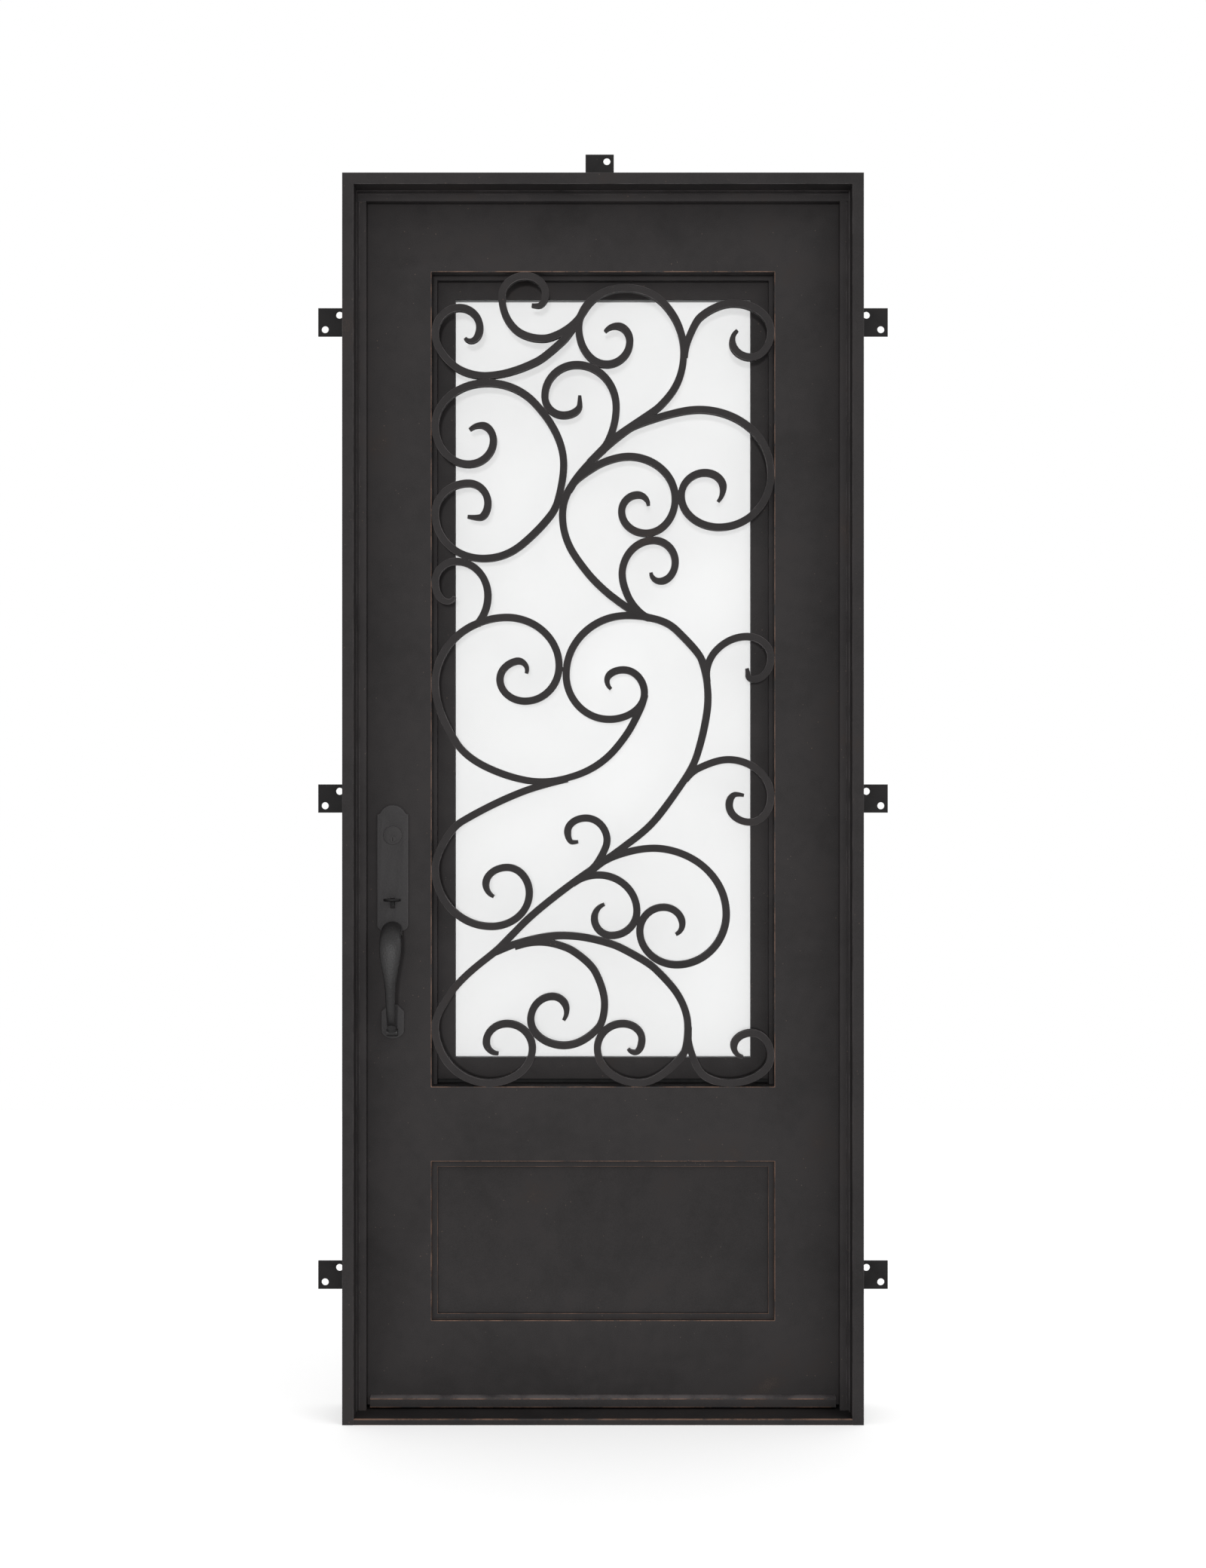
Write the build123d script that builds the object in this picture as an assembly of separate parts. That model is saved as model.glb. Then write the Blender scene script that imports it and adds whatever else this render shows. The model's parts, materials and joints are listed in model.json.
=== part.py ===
from build123d import *
import math
import os

os.makedirs("parts", exist_ok=True)

# A single entrance door: a steel tube frame, and a leaf with a scroll grille over an insulated glass.
# Millimetres. +X is to the right and +Y is inwards as seen from outside, and +Z is up. The origin is
# on the sill's underside, midway between the jambs and midway through their depth.

# Frame
unit_width = 1016.0
unit_height = 2438.4
jamb_face = 22.5
jamb_depth = 152.0
tube_corner = 1.5
reveal_line_setback = 40.0
reveal_line_width = 2.0
reveal_line_depth = 1.0
sill_height = 12.5
stop_projection = 18.5
stop_setback = 57.0
stop_step_width = 5.0
stop_step_depth = 2.0
stop_corner = 1.5
seal_space = 5.0
seal_width = 7.0
soft_gap = 0.3

# Mounting tabs
tab_size = 56.0
tab_thickness = 4.0
tab_hole = 14.0
tab_hole_edge = 13.7
tab_reach = 943.0
top_tab_offset = -6.6

# Leaf
leaf_setback = 78.0
hinge_gap = 5.5
lock_gap = 5.5
head_gap = 6.0
sill_gap = 5.5
lock_bevel = 4.0
stile_width = 140.0
top_rail_height = 147.0
middle_rail_height = 148.0
lower_panel_height = 315.0
bottom_rail_height = 167.0
panel_step_width = 12.0
panel_step_depth = 8.0
drip_depth = 16.0
drip_lip = 17.0
drip_slope = 4.5
drip_end_gap = 6.5
sweep_width = 12.0

# Glass sash
sash_setback = 52.0
sash_depth = 26.0
sash_width = 42.5
sash_gap = 1.0
sash_bottom_gap = 9.0
sash_lip = 4.0
sash_rebate = 12.0
glass_thickness = 16.0
glass_gap = 1.0
bead_width = 12.0
strip_width = 8.8
strip_depth = 18.0

# Scroll grille
bar_width = 14.4
bar_depth = 16.0
tip_width = 6.5
tip_taper = 34.0
turn_step = 10.0
weld_radius = 4.5
drawn_width = 664.0
drawn_height = 1600.0

# Hinges
barrel_radius = 11.0
knuckle_height = 60.0
knuckle_gap = 1.0
pin_radius = 6.0
pin_height = 48.0
running_clearance = 0.08
hinge_reach = 920.0
hinge_plate_width = 20.0
hinge_plate_thickness = 6.0
cap_height = 5.0

# Handleset
handle_inset = 63.5
plate_width = 62.7
plate_thickness = 6.0
plate_bevel = 1.5
lock_z = 1075.0
plate_rise = 131.5
plate_arch_rise = 18.3
plate_ear_width = 6.6
plate_ear_rise = 3.4
plate_ear_sag = 1.0
plate_height = 237.0
plate_cove = 12.0
plate_neck_height = 21.5
cylinder_rise = 71.3
cylinder_radius = 18.4
cylinder_proud = 0.8
cylinder_seam = 0.3
plug_drop = 8.0
plug_radius = 6.5
key_slot_width = 1.8
key_slot_height = 8.0
key_slot_depth = 4.0
thumb_drop = 63.0
thumb_slot_width = 10.0
thumb_slot_height = 21.0
thumb_stem_width = 8.0
thumb_stem_height = 8.0
thumb_eye_radius = 2.6
thumb_stem_reach = 6.0
thumb_pad_gap = 1.5
thumb_pad_width = 34.0
thumb_pad_reach = 23.0
thumb_pad_thickness = 5.0
thumb_pin_radius = 1.2
# Stations down the grip: distance out from the plates, drop below the lock, width and thickness
grip_stations = [
    (0.0, 114.0, 30, 24), (22.0, 111.0, 36, 20), (42.0, 124.0, 41, 16), (52.0, 151.0, 43, 14),
    (54.0, 193.0, 31, 13), (49.0, 235.0, 20.5, 12), (38.0, 280.0, 17.5, 12), (21.0, 308.0, 17.5, 12),
    (0.0, 318.0, 17.5, 12),
]
rosette_width = 45.6
rosette_drop = 263.5
rosette_chamfer = 13.5
rosette_side = 41.0
rosette_foot = 13.4
grip_seat = 0.05
roll_radius = 7.2
roll_length = 21.5
roll_stand = 8.0

# Lock and inside furniture
faceplate_height = 240.0
faceplate_width = 25.0
faceplate_thickness = 3.0
bolt_height = 28.0
bolt_width = 16.0
strike_pocket = 12.0
inner_plate_drop = 107.0
lever_length = 112.0
lever_radius = 8.0
lever_standoff = 46.0
rose_radius = 13.0
rose_height = 8.0
turn_length = 34.0
turn_width = 6.0
turn_height = 16.0

# Sash fittings
sash_fitting_inset = 220.0
sash_barrel_radius = 5.0
sash_hinge_height = 64.0
sash_hinge_flap = 24.0
sash_hinge_thickness = 3.0
latch_width = 22.0
latch_height = 40.0
latch_thickness = 8.0
latch_edge = 4.0
tongue_reach = 20.0
tongue_height = 14.0
tongue_thickness = 5.0
knob_radius = 7.0
knob_height = 14.0

# Places that follow from the sizes above
half_width = unit_width / 2
clear_half = half_width - jamb_face
head_z = unit_height - jamb_face
front_y = -jamb_depth / 2
back_y = jamb_depth / 2
leaf_y = front_y + leaf_setback
leaf_thickness = jamb_depth - leaf_setback
leaf_middle_y = leaf_y + leaf_thickness / 2
leaf_left = -clear_half + lock_gap
leaf_right = clear_half - hinge_gap
leaf_bottom = sill_height + sill_gap
leaf_top = head_z - head_gap
opening_left = leaf_left + stile_width
opening_right = leaf_right - stile_width
panel_bottom = leaf_bottom + bottom_rail_height
panel_top = panel_bottom + lower_panel_height
opening_bottom = panel_top + middle_rail_height
opening_top = leaf_top - top_rail_height
opening_x = (opening_left + opening_right) / 2
opening_z = (opening_bottom + opening_top) / 2
stop_y = front_y + stop_setback
stop_back_y = leaf_y - seal_space
stop_half = clear_half - stop_projection
stop_head_z = head_z - stop_projection
middle_z = unit_height / 2
handle_x = leaf_left + handle_inset
plate_y = leaf_y - plate_thickness
plate_top = lock_z + plate_rise
plate_shoulder_z = plate_top - plate_height
plate_neck_z = plate_shoulder_z - plate_neck_height
cylinder_z = lock_z + cylinder_rise
thumb_z = lock_z - thumb_drop
rosette_top = lock_z - rosette_drop
rosette_shoulder_z = rosette_top - rosette_chamfer
rosette_corner_z = rosette_shoulder_z - rosette_side
rosette_foot_z = rosette_corner_z - rosette_foot
inner_plate_bottom = lock_z - inner_plate_drop
sash_y = leaf_y + sash_setback
sash_back_y = sash_y + sash_depth
sash_left = opening_left + sash_gap
sash_right = opening_right - sash_gap
sash_bottom = opening_bottom + sash_bottom_gap
sash_top = opening_top - sash_gap
glass_y = sash_y + sash_lip
glass_back_y = glass_y + glass_thickness
hinge_x = (leaf_right + clear_half) / 2
hinge_y = back_y + barrel_radius


def block(x0, x1, y0, y1, z0, z1):
    """A box between six planes."""
    middle = Vector((x0 + x1) / 2, (y0 + y1) / 2, (z0 + z1) / 2)
    return Pos(middle) * Box(x1 - x0, y1 - y0, z1 - z0)


def outline(*points):
    """A flat face inside a closed line of straight runs."""
    return make_face(Polyline(*points, close=True))


def upright(profile, z0, z1):
    """A plan profile, drawn in X and Y, raised from one height to another."""
    return Pos(0, 0, z0) * extrude(profile, z1 - z0)


def plate(profile, y0, y1):
    """A front view profile, drawn in X and Z, made thick from y0 back to y1."""
    return Plane.XZ.offset(-y1) * extrude(profile, y1 - y0)


def across(profile, x0, x1):
    """A side view profile, drawn in Y and Z, run from x0 across to x1."""
    return Pos(x0, 0, 0) * (Plane.YZ * extrude(profile, x1 - x0))


# Frame
def jamb_profile():
    """Plan section of the left jamb, with the fine line along its reveal."""
    tube = Rectangle(jamb_face, jamb_depth)
    tube = fillet(tube.vertices(), tube_corner)
    line_y = front_y + reveal_line_setback
    line = Pos(jamb_face / 2, line_y) * Rectangle(2 * reveal_line_depth, reveal_line_width)
    return tube - line


def jamb_left():
    x = -half_width + jamb_face / 2
    jamb = upright(Pos(x, 0) * jamb_profile(), 0, unit_height)
    corner = outline(
        (-half_width, unit_height), (-half_width + jamb_face, head_z), (-half_width + jamb_face, unit_height)
    )
    jamb -= plate(corner, front_y, back_y)
    pocket = block(
        -clear_half - strike_pocket, -clear_half,
        leaf_middle_y - faceplate_width / 2, leaf_middle_y + faceplate_width / 2,
        lock_z - faceplate_height / 2, lock_z + faceplate_height / 2,
    )
    return jamb - pocket


def jamb_right():
    x = half_width - jamb_face / 2
    jamb = upright(Pos(x, 0) * mirror(jamb_profile(), Plane.YZ), 0, unit_height)
    corner = outline(
        (half_width, unit_height), (half_width - jamb_face, head_z), (half_width - jamb_face, unit_height)
    )
    return jamb - plate(corner, front_y, back_y)


def head_jamb():
    """A tube like the jambs, laid across the top and mitred at both ends."""
    tube = Rectangle(jamb_depth, jamb_face)
    tube = fillet(tube.vertices(), tube_corner)
    line_y = front_y + reveal_line_setback
    line = Pos(line_y, -jamb_face / 2) * Rectangle(reveal_line_width, 2 * reveal_line_depth)
    head = across(Pos(0, unit_height - jamb_face / 2) * (tube - line), -half_width, half_width)
    left = outline((-half_width, unit_height), (-half_width, head_z), (-half_width + jamb_face, head_z))
    right = outline((half_width, unit_height), (half_width, head_z), (half_width - jamb_face, head_z))
    return head - plate(left, front_y, back_y) - plate(right, front_y, back_y)


def sill():
    slab = block(-clear_half, clear_half, front_y, back_y, 0, sill_height)
    edge = slab.edges().filter_by(Axis.X).group_by(Axis.Z)[-1]
    return chamfer(edge, 1.5)


def stop_section():
    """Points of a stop's section, as distance from the jamb's wall and place in depth."""
    return [
        (0, stop_y + stop_step_depth), (stop_step_width, stop_y + stop_step_depth),
        (stop_step_width, stop_y), (stop_projection, stop_y),
        (stop_projection, stop_back_y), (0, stop_back_y),
    ]


def stop_left():
    section = outline(*[(-clear_half + out, y) for out, y in stop_section()])
    section = fillet(section.vertices().sort_by(Axis.X)[-2:], stop_corner)
    return upright(section, sill_height, stop_head_z)


def stop_right():
    return mirror(stop_left(), Plane.YZ)


def stop_head():
    """The same section across the head, over the two upright stops."""
    section = outline(*[(y, head_z - out) for out, y in stop_section()])
    section = fillet(section.vertices().sort_by(Axis.Y)[:2], stop_corner)
    return across(section, -clear_half, clear_half)


def weatherstrip():
    """A soft strip round the back of the stops, which the closed leaf bears on."""
    outer = -leaf_left - lock_bevel - 1
    top = leaf_top - 2
    y1 = leaf_y - soft_gap
    frame = block(-outer, outer, stop_back_y, y1, sill_height, top)
    inner = outer - seal_width
    return frame - block(-inner, inner, stop_back_y, y1, sill_height, top - seal_width)


# Mounting tabs
def tab(sense):
    """A square tab with two holes on a diagonal, in front view about its own middle."""
    offset = tab_size / 2 - tab_hole_edge
    face = Rectangle(tab_size, tab_size)
    for side in (-1, 1):
        face -= Pos(side * sense * offset, side * offset) * Circle(tab_hole / 2)
    return plate(face, -tab_thickness / 2, tab_thickness / 2)


def mounting_tabs(side):
    """Three tabs down one side of the frame; side is -1 on the left and 1 on the right."""
    x = side * (half_width + tab_size / 2)
    tabs = [Pos(x, 0, middle_z + step * tab_reach) * tab(-side) for step in (-1, 0, 1)]
    return Compound(children=tabs)


def mounting_tab_top():
    return Pos(top_tab_offset, 0, unit_height + tab_size / 2) * tab(1)


# Leaf
def lock_edge_x(y):
    """The lock edge is bevelled so that it clears the jamb as the leaf swings in."""
    return leaf_left + lock_bevel * (leaf_y + leaf_thickness - y) / leaf_thickness


def faceplate_profile(depth):
    y0 = leaf_middle_y - faceplate_width / 2
    y1 = leaf_middle_y + faceplate_width / 2
    return outline(
        (lock_edge_x(y0), y0), (lock_edge_x(y1), y1),
        (lock_edge_x(y1) + depth, y1), (lock_edge_x(y0) + depth, y0),
    )


def lock_faceplate():
    low = lock_z - faceplate_height / 2
    return upright(faceplate_profile(faceplate_thickness), low, low + faceplate_height)


def leaf_stile_lock():
    plan = outline(
        (lock_edge_x(leaf_y), leaf_y), (opening_left, leaf_y), (opening_left, back_y), (leaf_left, back_y)
    )
    return upright(plan, leaf_bottom, leaf_top) - lock_faceplate()


def leaf_stile_hinge():
    return block(opening_right, leaf_right, leaf_y, back_y, leaf_bottom, leaf_top)


def leaf_rail(z0, z1):
    return block(opening_left, opening_right, leaf_y, back_y, z0, z1)


def lower_panel():
    """A panel pressed in two steps on both faces."""
    panel = block(opening_left, opening_right, leaf_y, back_y, panel_bottom, panel_top)
    for face_y, inwards in ((leaf_y, 1), (back_y, -1)):
        for step in (1, 2):
            inset = (step - 1) * panel_step_width
            y0, y1 = sorted((face_y, face_y + inwards * step * panel_step_depth))
            panel -= block(
                opening_left + inset, opening_right - inset, y0, y1, panel_bottom + inset, panel_top - inset
            )
    return panel


def drip_strip():
    """A strip along the foot of the leaf with a sloped top that sheds water."""
    low = drip_lip
    front = leaf_y - drip_depth
    section = outline(
        (front, low), (leaf_y, low), (leaf_y, low + drip_lip + drip_slope), (front, low + drip_lip)
    )
    reach = stop_half - drip_end_gap
    return across(section, -reach, reach)


def bottom_sweep():
    return block(
        leaf_left + lock_bevel, leaf_right,
        leaf_middle_y - sweep_width / 2, leaf_middle_y + sweep_width / 2,
        sill_height + soft_gap, leaf_bottom,
    )


# Glass sash
def ring(x0, x1, z0, z1, width, y0, y1):
    """A rectangular ring of one width all round."""
    outer = block(x0, x1, y0, y1, z0, z1)
    return outer - block(x0 + width, x1 - width, y0, y1, z0 + width, z1 - width)


def sash_frame():
    """Welded sash with a lip in front of the glass and a rebate behind it."""
    frame = ring(sash_left, sash_right, sash_bottom, sash_top, sash_width, sash_y, sash_back_y)
    inset = sash_width - sash_rebate
    pocket = block(
        sash_left + inset, sash_right - inset, glass_y, sash_back_y, sash_bottom + inset, sash_top - inset
    )
    return frame - pocket


def insulated_glass():
    inset = sash_width - sash_rebate + glass_gap
    return block(
        sash_left + inset, sash_right - inset, glass_y, glass_back_y, sash_bottom + inset, sash_top - inset
    )


def glazing_bead():
    inset = sash_width - sash_rebate
    return ring(
        sash_left + inset, sash_right - inset, sash_bottom + inset, sash_top - inset,
        bead_width, glass_back_y, sash_back_y,
    )


def sash_stop_strip():
    """The strip down both sides and across the top of the opening, which the sash closes on."""
    y1 = sash_y
    y0 = y1 - strip_depth
    frame = block(opening_left, opening_right, y0, y1, opening_bottom, opening_top)
    return frame - block(
        opening_left + strip_width, opening_right - strip_width,
        y0, y1, opening_bottom, opening_top - strip_width,
    )


def sash_fitting_heights():
    return (sash_bottom + sash_fitting_inset, sash_top - sash_fitting_inset)


def sash_hinges():
    """Two small butt hinges across the joint between the sash and the hinge stile."""
    front = sash_back_y
    back = sash_back_y + sash_hinge_thickness
    hinges = []
    for z in sash_fitting_heights():
        low = z - sash_hinge_height / 2
        high = z + sash_hinge_height / 2
        barrel = Pos(opening_right, sash_back_y + sash_barrel_radius, z) * Cylinder(
            sash_barrel_radius, sash_hinge_height
        )
        outer = block(opening_right, opening_right + sash_hinge_flap, back_y, back, low, high)
        inner = block(opening_right - sash_hinge_flap, opening_right, front, back, low, high)
        hinges.append(barrel + outer + inner)
    return Compound(children=hinges)


def sash_latches():
    """Two cam latches on the lock stile that hold the sash shut."""
    x1 = opening_left - latch_edge
    x0 = x1 - latch_width
    x = (x0 + x1) / 2
    latches = []
    for z in sash_fitting_heights():
        base = block(x0, x1, back_y, back_y + latch_thickness, z - latch_height / 2, z + latch_height / 2)
        tongue = block(
            x, opening_left + tongue_reach, sash_back_y, sash_back_y + tongue_thickness,
            z - tongue_height / 2, z + tongue_height / 2,
        )
        knob_y = back_y + latch_thickness + knob_height / 2
        knob = Pos(x, knob_y, z) * (Rot(90, 0, 0) * Cylinder(knob_radius, knob_height))
        latches.append(base + tongue + knob)
    return Compound(children=latches)


# Scroll grille
# Each bar is drawn from its tip as stations in X and Z from the middle of the glass opening. The
# outermost centre lines are drawn_width apart across and drawn_height apart up the opening. "h" marks
# the top or bottom of a curl, where the bar runs level, and "v" a side of one, where it runs upright.
curl_top_left = [
    (-141, 742), (-129, 741, "h"), (-114, 765, "v"), (-154, 800, "h"), (-200, 759, "v"), (-175, 696),
    (-118, 676, "h"), (-80, 689), (-50, 713), (-32, 740), (-10, 762),
]
sweep_top_left = [
    (-273, 677), (-262, 671, "h"), (-244, 698, "v"), (-284, 737, "h"), (-332, 686, "v"), (-296, 623),
    (-229, 602, "h"), (-134, 629), (-79, 672), (-60, 696), (-34, 738),
]
curl_top_middle = [
    (4, 690), (27, 701, "h"), (53, 671, "v"), (7, 625, "h"), (-48, 699, "v"), (44, 776, "h"), (122, 744),
    (160, 650, "v"), (148, 590), (112, 541), (70, 511), (26, 481), (-27, 430),
]
curl_top_right = [
    (266, 692), (256, 671, "v"), (293, 639, "h"), (332, 690, "v"), (258, 746, "h"), (193, 719), (169, 675),
    (161, 640),
]
hook_upper = [
    (-46, 563), (-46, 545, "v"), (-78, 524, "h"), (-115, 562, "v"), (-52, 624, "h"), (26, 541, "v"),
    (19, 495), (-2, 452),
]
double_left = [
    (-264, 495), (-241, 504, "h"), (-217, 474, "v"), (-266, 427, "h"), (-332, 503, "v"), (-229, 588, "h"),
    (-136, 549), (-78, 428, "v"), (-89, 356), (-105, 324), (-159, 269), (-196, 247), (-238, 240, "h"),
    (-305, 266), (-332, 329, "v"), (-266, 389, "h"), (-228, 350, "v"), (-245, 321, "h"), (-268, 323),
]
hook_left = [
    (-294, 164), (-307, 154, "h"), (-332, 193, "v"), (-290, 234, "h"), (-228, 166, "v"), (-249, 109),
]
curl_left = [
    (-152, 12), (-172, 36), (-204, 0, "v"), (-154, -43, "h"), (-87, 27, "v"), (-191, 123, "h"),
    (-332, -10, "v"), (-290, -126), (-226, -176), (-120, -203, "h"), (-50, -189), (3, -159), (46, -110),
    (73, -60), (83, -30),
]
main_stem = [
    (16, -19), (8, -2, "v"), (40, 19, "h"), (82, -27, "v"), (12, -79, "h"), (-73, 10, "v"),
    (49, 127, "h"), (128, 111), (174, 68), (196, 38), (208, -35, "v"), (187, -148), (162, -198),
    (92, -291), (20, -348), (-31, -383), (-97, -432), (-157, -483), (-209, -537), (-284, -600),
    (-332, -687, "v"), (-226, -800, "h"), (-140, -732, "v"), (-190, -683, "h"), (-231, -719, "v"),
    (-207, -742),
]
hook_middle = [
    (95, 212), (113, 195, "h"), (143, 233, "v"), (100, 276, "h"), (38, 208, "v"), (50, 164), (70, 136),
    (92, 121),
]
curl_middle = [
    (90, 345), (69, 366, "h"), (37, 333, "v"), (85, 290, "h"), (143, 359, "v"), (50, 442, "h"),
    (2, 431), (-34, 410), (-60, 388), (-76, 356), (-80, 322, "v"), (-67, 266), (-30, 211), (3, 177),
    (36, 151), (66, 131),
]
curl_right = [
    (228, 353), (238, 380, "v"), (202, 410, "h"), (155, 364, "v"), (230, 302, "h"), (332, 406, "v"),
    (293, 497), (188, 535, "h"), (64, 504), (25, 477), (-15, 441), (-47, 406), (-68, 375),
]
hook_right = [
    (285, 22), (287, 9, "v"), (298, 0, "h"), (332, 43, "v"), (284, 85, "h"), (222, 55), (206, -5),
]
hook_right_lower = [
    (279, -230), (264, -228, "h"), (250, -249, "v"), (291, -283, "h"), (332, -232, "v"), (247, -159, "h"),
    (190, -176), (163, -199),
]
curl_lower_right = [
    (144, -506), (157, -486, "v"), (120, -452, "h"), (73, -499, "v"), (146, -566, "h"), (244, -465, "v"),
    (97, -335, "h"), (22, -351), (-20, -377),
]
hook_lower = [
    (3, -446), (-17, -474, "v"), (17, -508, "h"), (67, -460, "v"), (-9, -388, "h"), (-38, -393), (-60, -405),
]
hook_stem = [
    (-49, -322), (-60, -323, "h"), (-70, -302, "v"), (-34, -275, "h"), (8, -320, "v"), (-10, -362),
    (-32, -384),
]
curl_lower_left = [
    (-216, -431), (-232, -406, "v"), (-190, -373, "h"), (-146, -424, "v"), (-221, -490, "h"),
    (-332, -375, "v"), (-293, -292), (-242, -261), (-193, -237), (-143, -217), (-70, -197),
]
sweep_foot = [
    (50, -733), (63, -740, "h"), (77, -714, "v"), (39, -683, "h"), (-11, -732, "v"), (72, -800, "h"),
    (158, -745), (168, -687, "v"), (149, -627), (104, -575), (76, -555), (17, -525), (-79, -508, "h"),
    (-150, -518), (-213, -541),
]
curl_foot = [
    (-78, -676), (-72, -657, "v"), (-100, -629, "h"), (-143, -675, "v"), (-76, -726, "h"), (-10, -692),
    (3, -641, "v"), (-15, -581), (-38, -555), (-73, -532), (-124, -521), (-175, -530),
]
hook_foot = [
    (277, -749), (259, -728, "v"), (295, -701, "h"), (332, -746, "v"), (250, -800, "h"), (196, -782),
    (172, -731), (168, -690),
]
two_tipped = [double_left, main_stem]
one_tipped = [
    curl_top_left, sweep_top_left, curl_top_middle, curl_top_right, hook_upper, hook_left, curl_left,
    hook_middle, curl_middle, curl_right, hook_right, hook_right_lower, curl_lower_right, hook_lower,
    hook_stem, curl_lower_left, sweep_foot, curl_foot, hook_foot,
]
scrolls = one_tipped + two_tipped
# Places where two bars only touch, and are joined by a small weld
weld_places = [(-229, 595), (-266, 241), (-80, 20), (149, 363), (93, 283), (-4, -690), (70, -480)]


def headings(points, marks):
    """The bar's direction at each station: level, upright, or along the line between its neighbours."""
    ways = []
    last = len(points) - 1
    for i, mark in enumerate(marks):
        chord = (points[min(i + 1, last)] - points[max(i - 1, 0)]).normalized()
        if mark == "h":
            chord = Vector(math.copysign(1, chord.X), 0)
        elif mark == "v":
            chord = Vector(0, math.copysign(1, chord.Y))
        ways.append(chord)
    for end, beside in ((0, 1), (last, last - 1)):
        chord = (points[beside] - points[end]).normalized()
        ways[end] = chord * (2 * chord.dot(ways[beside])) - ways[beside]
    return ways


def span(start, end, way_0, way_1):
    """Points along one smooth bend, from the start up to but not including the end."""
    chord = (end - start).length
    turn = math.atan2(way_0.X * way_1.Y - way_0.Y * way_1.X, way_0.dot(way_1))
    reach_0 = reach_1 = 0.36 * chord
    cross = way_0.X * way_1.Y - way_0.Y * way_1.X
    if abs(turn) > 0.05:
        across = end - start
        lead = (across.X * way_1.Y - across.Y * way_1.X) / cross
        trail = (way_0.X * across.Y - way_0.Y * across.X) / cross
        if 0 < lead < 3 * chord and 0 < trail < 3 * chord:
            ratio = 4 / 3 * math.tan(abs(turn) / 4) / math.tan(abs(turn) / 2)
            reach_0 = ratio * lead
            reach_1 = ratio * trail
    steps = max(2, round(math.degrees(abs(turn)) / turn_step), round(chord / 40))
    handle_0 = start + way_0 * reach_0
    handle_1 = end - way_1 * reach_1
    result = []
    for i in range(steps):
        t = i / steps
        u = 1 - t
        point = start * u**3 + handle_0 * (3 * u * u * t) + handle_1 * (3 * u * t * t) + end * t**3
        result.append(point)
    return result


def in_opening(x, z):
    """A drawn place, stretched to the size of the opening."""
    wide = (opening_right - opening_left - bar_width) / drawn_width
    high = (opening_top - opening_bottom - bar_width) / drawn_height
    return Vector(opening_x + x * wide, opening_z + z * high)


def bar_outline(stations, far_tip=False):
    """The front view of one bar, tapered to its tip, or to a tip at each end."""
    points = [in_opening(s[0], s[1]) for s in stations]
    marks = [s[2] if len(s) > 2 else "" for s in stations]
    ways = headings(points, marks)
    line = []
    for i in range(len(points) - 1):
        line += span(points[i], points[i + 1], ways[i], ways[i + 1])
    line.append(points[-1])
    runs = [0.0]
    for i in range(1, len(line)):
        runs.append(runs[-1] + (line[i] - line[i - 1]).length)
    left = []
    right = []
    for i, point in enumerate(line):
        way = (line[min(i + 1, len(line) - 1)] - line[max(i - 1, 0)]).normalized()
        from_tip = min(runs[i], runs[-1] - runs[i]) if far_tip else runs[i]
        half = (tip_width + (bar_width - tip_width) * min(1, from_tip / tip_taper)) / 2
        side = Vector(-way.Y, way.X) * half
        left.append(point + side)
        right.append(point - side)
    return make_face(Polyline(*left, *reversed(right), close=True))


def scroll_grille():
    """All the bars welded into one flat grille, flush with the face of the leaf."""
    bars = [bar_outline(stations) for stations in one_tipped]
    bars += [bar_outline(stations, far_tip=True) for stations in two_tipped]
    welds = [Pos(in_opening(x, z)) * Circle(weld_radius) for x, z in weld_places]
    front = Sketch() + bars + welds
    return plate(front, leaf_y, leaf_y + bar_depth)


# Hinges
def hinge_z(step):
    return middle_z + step * hinge_reach


def frame_knuckle(step):
    """Lower half of a hinge, welded to the jamb, with the pin standing in it."""
    z1 = hinge_z(step) - knuckle_gap / 2
    z0 = z1 - knuckle_height
    barrel = Pos(hinge_x, hinge_y, (z0 + z1) / 2) * Cylinder(barrel_radius, knuckle_height)
    edge = clear_half + 0.5
    flap = block(edge, edge + hinge_plate_width, back_y, back_y + hinge_plate_thickness, z0, z1)
    cap = Pos(hinge_x, hinge_y, z0 - cap_height / 2) * Cone(barrel_radius * 0.5, barrel_radius, cap_height)
    pin = Pos(hinge_x, hinge_y, z1 + pin_height / 2) * Cylinder(pin_radius, pin_height)
    return barrel + flap + cap + pin


def leaf_knuckle(step):
    """Upper half of a hinge, welded to the leaf and bored for the pin."""
    z0 = hinge_z(step) + knuckle_gap / 2
    z1 = z0 + knuckle_height
    barrel = Pos(hinge_x, hinge_y, (z0 + z1) / 2) * Cylinder(barrel_radius, knuckle_height)
    edge = leaf_right - 0.5
    flap = block(edge - hinge_plate_width, edge, back_y, back_y + hinge_plate_thickness, z0, z1)
    cap = Pos(hinge_x, hinge_y, z1 + cap_height / 2) * Cone(barrel_radius, barrel_radius * 0.5, cap_height)
    depth = pin_height + 1
    bore = Pos(hinge_x, hinge_y, z0 + depth / 2) * Cylinder(pin_radius + running_clearance, depth)
    return barrel + flap + cap - bore


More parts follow.
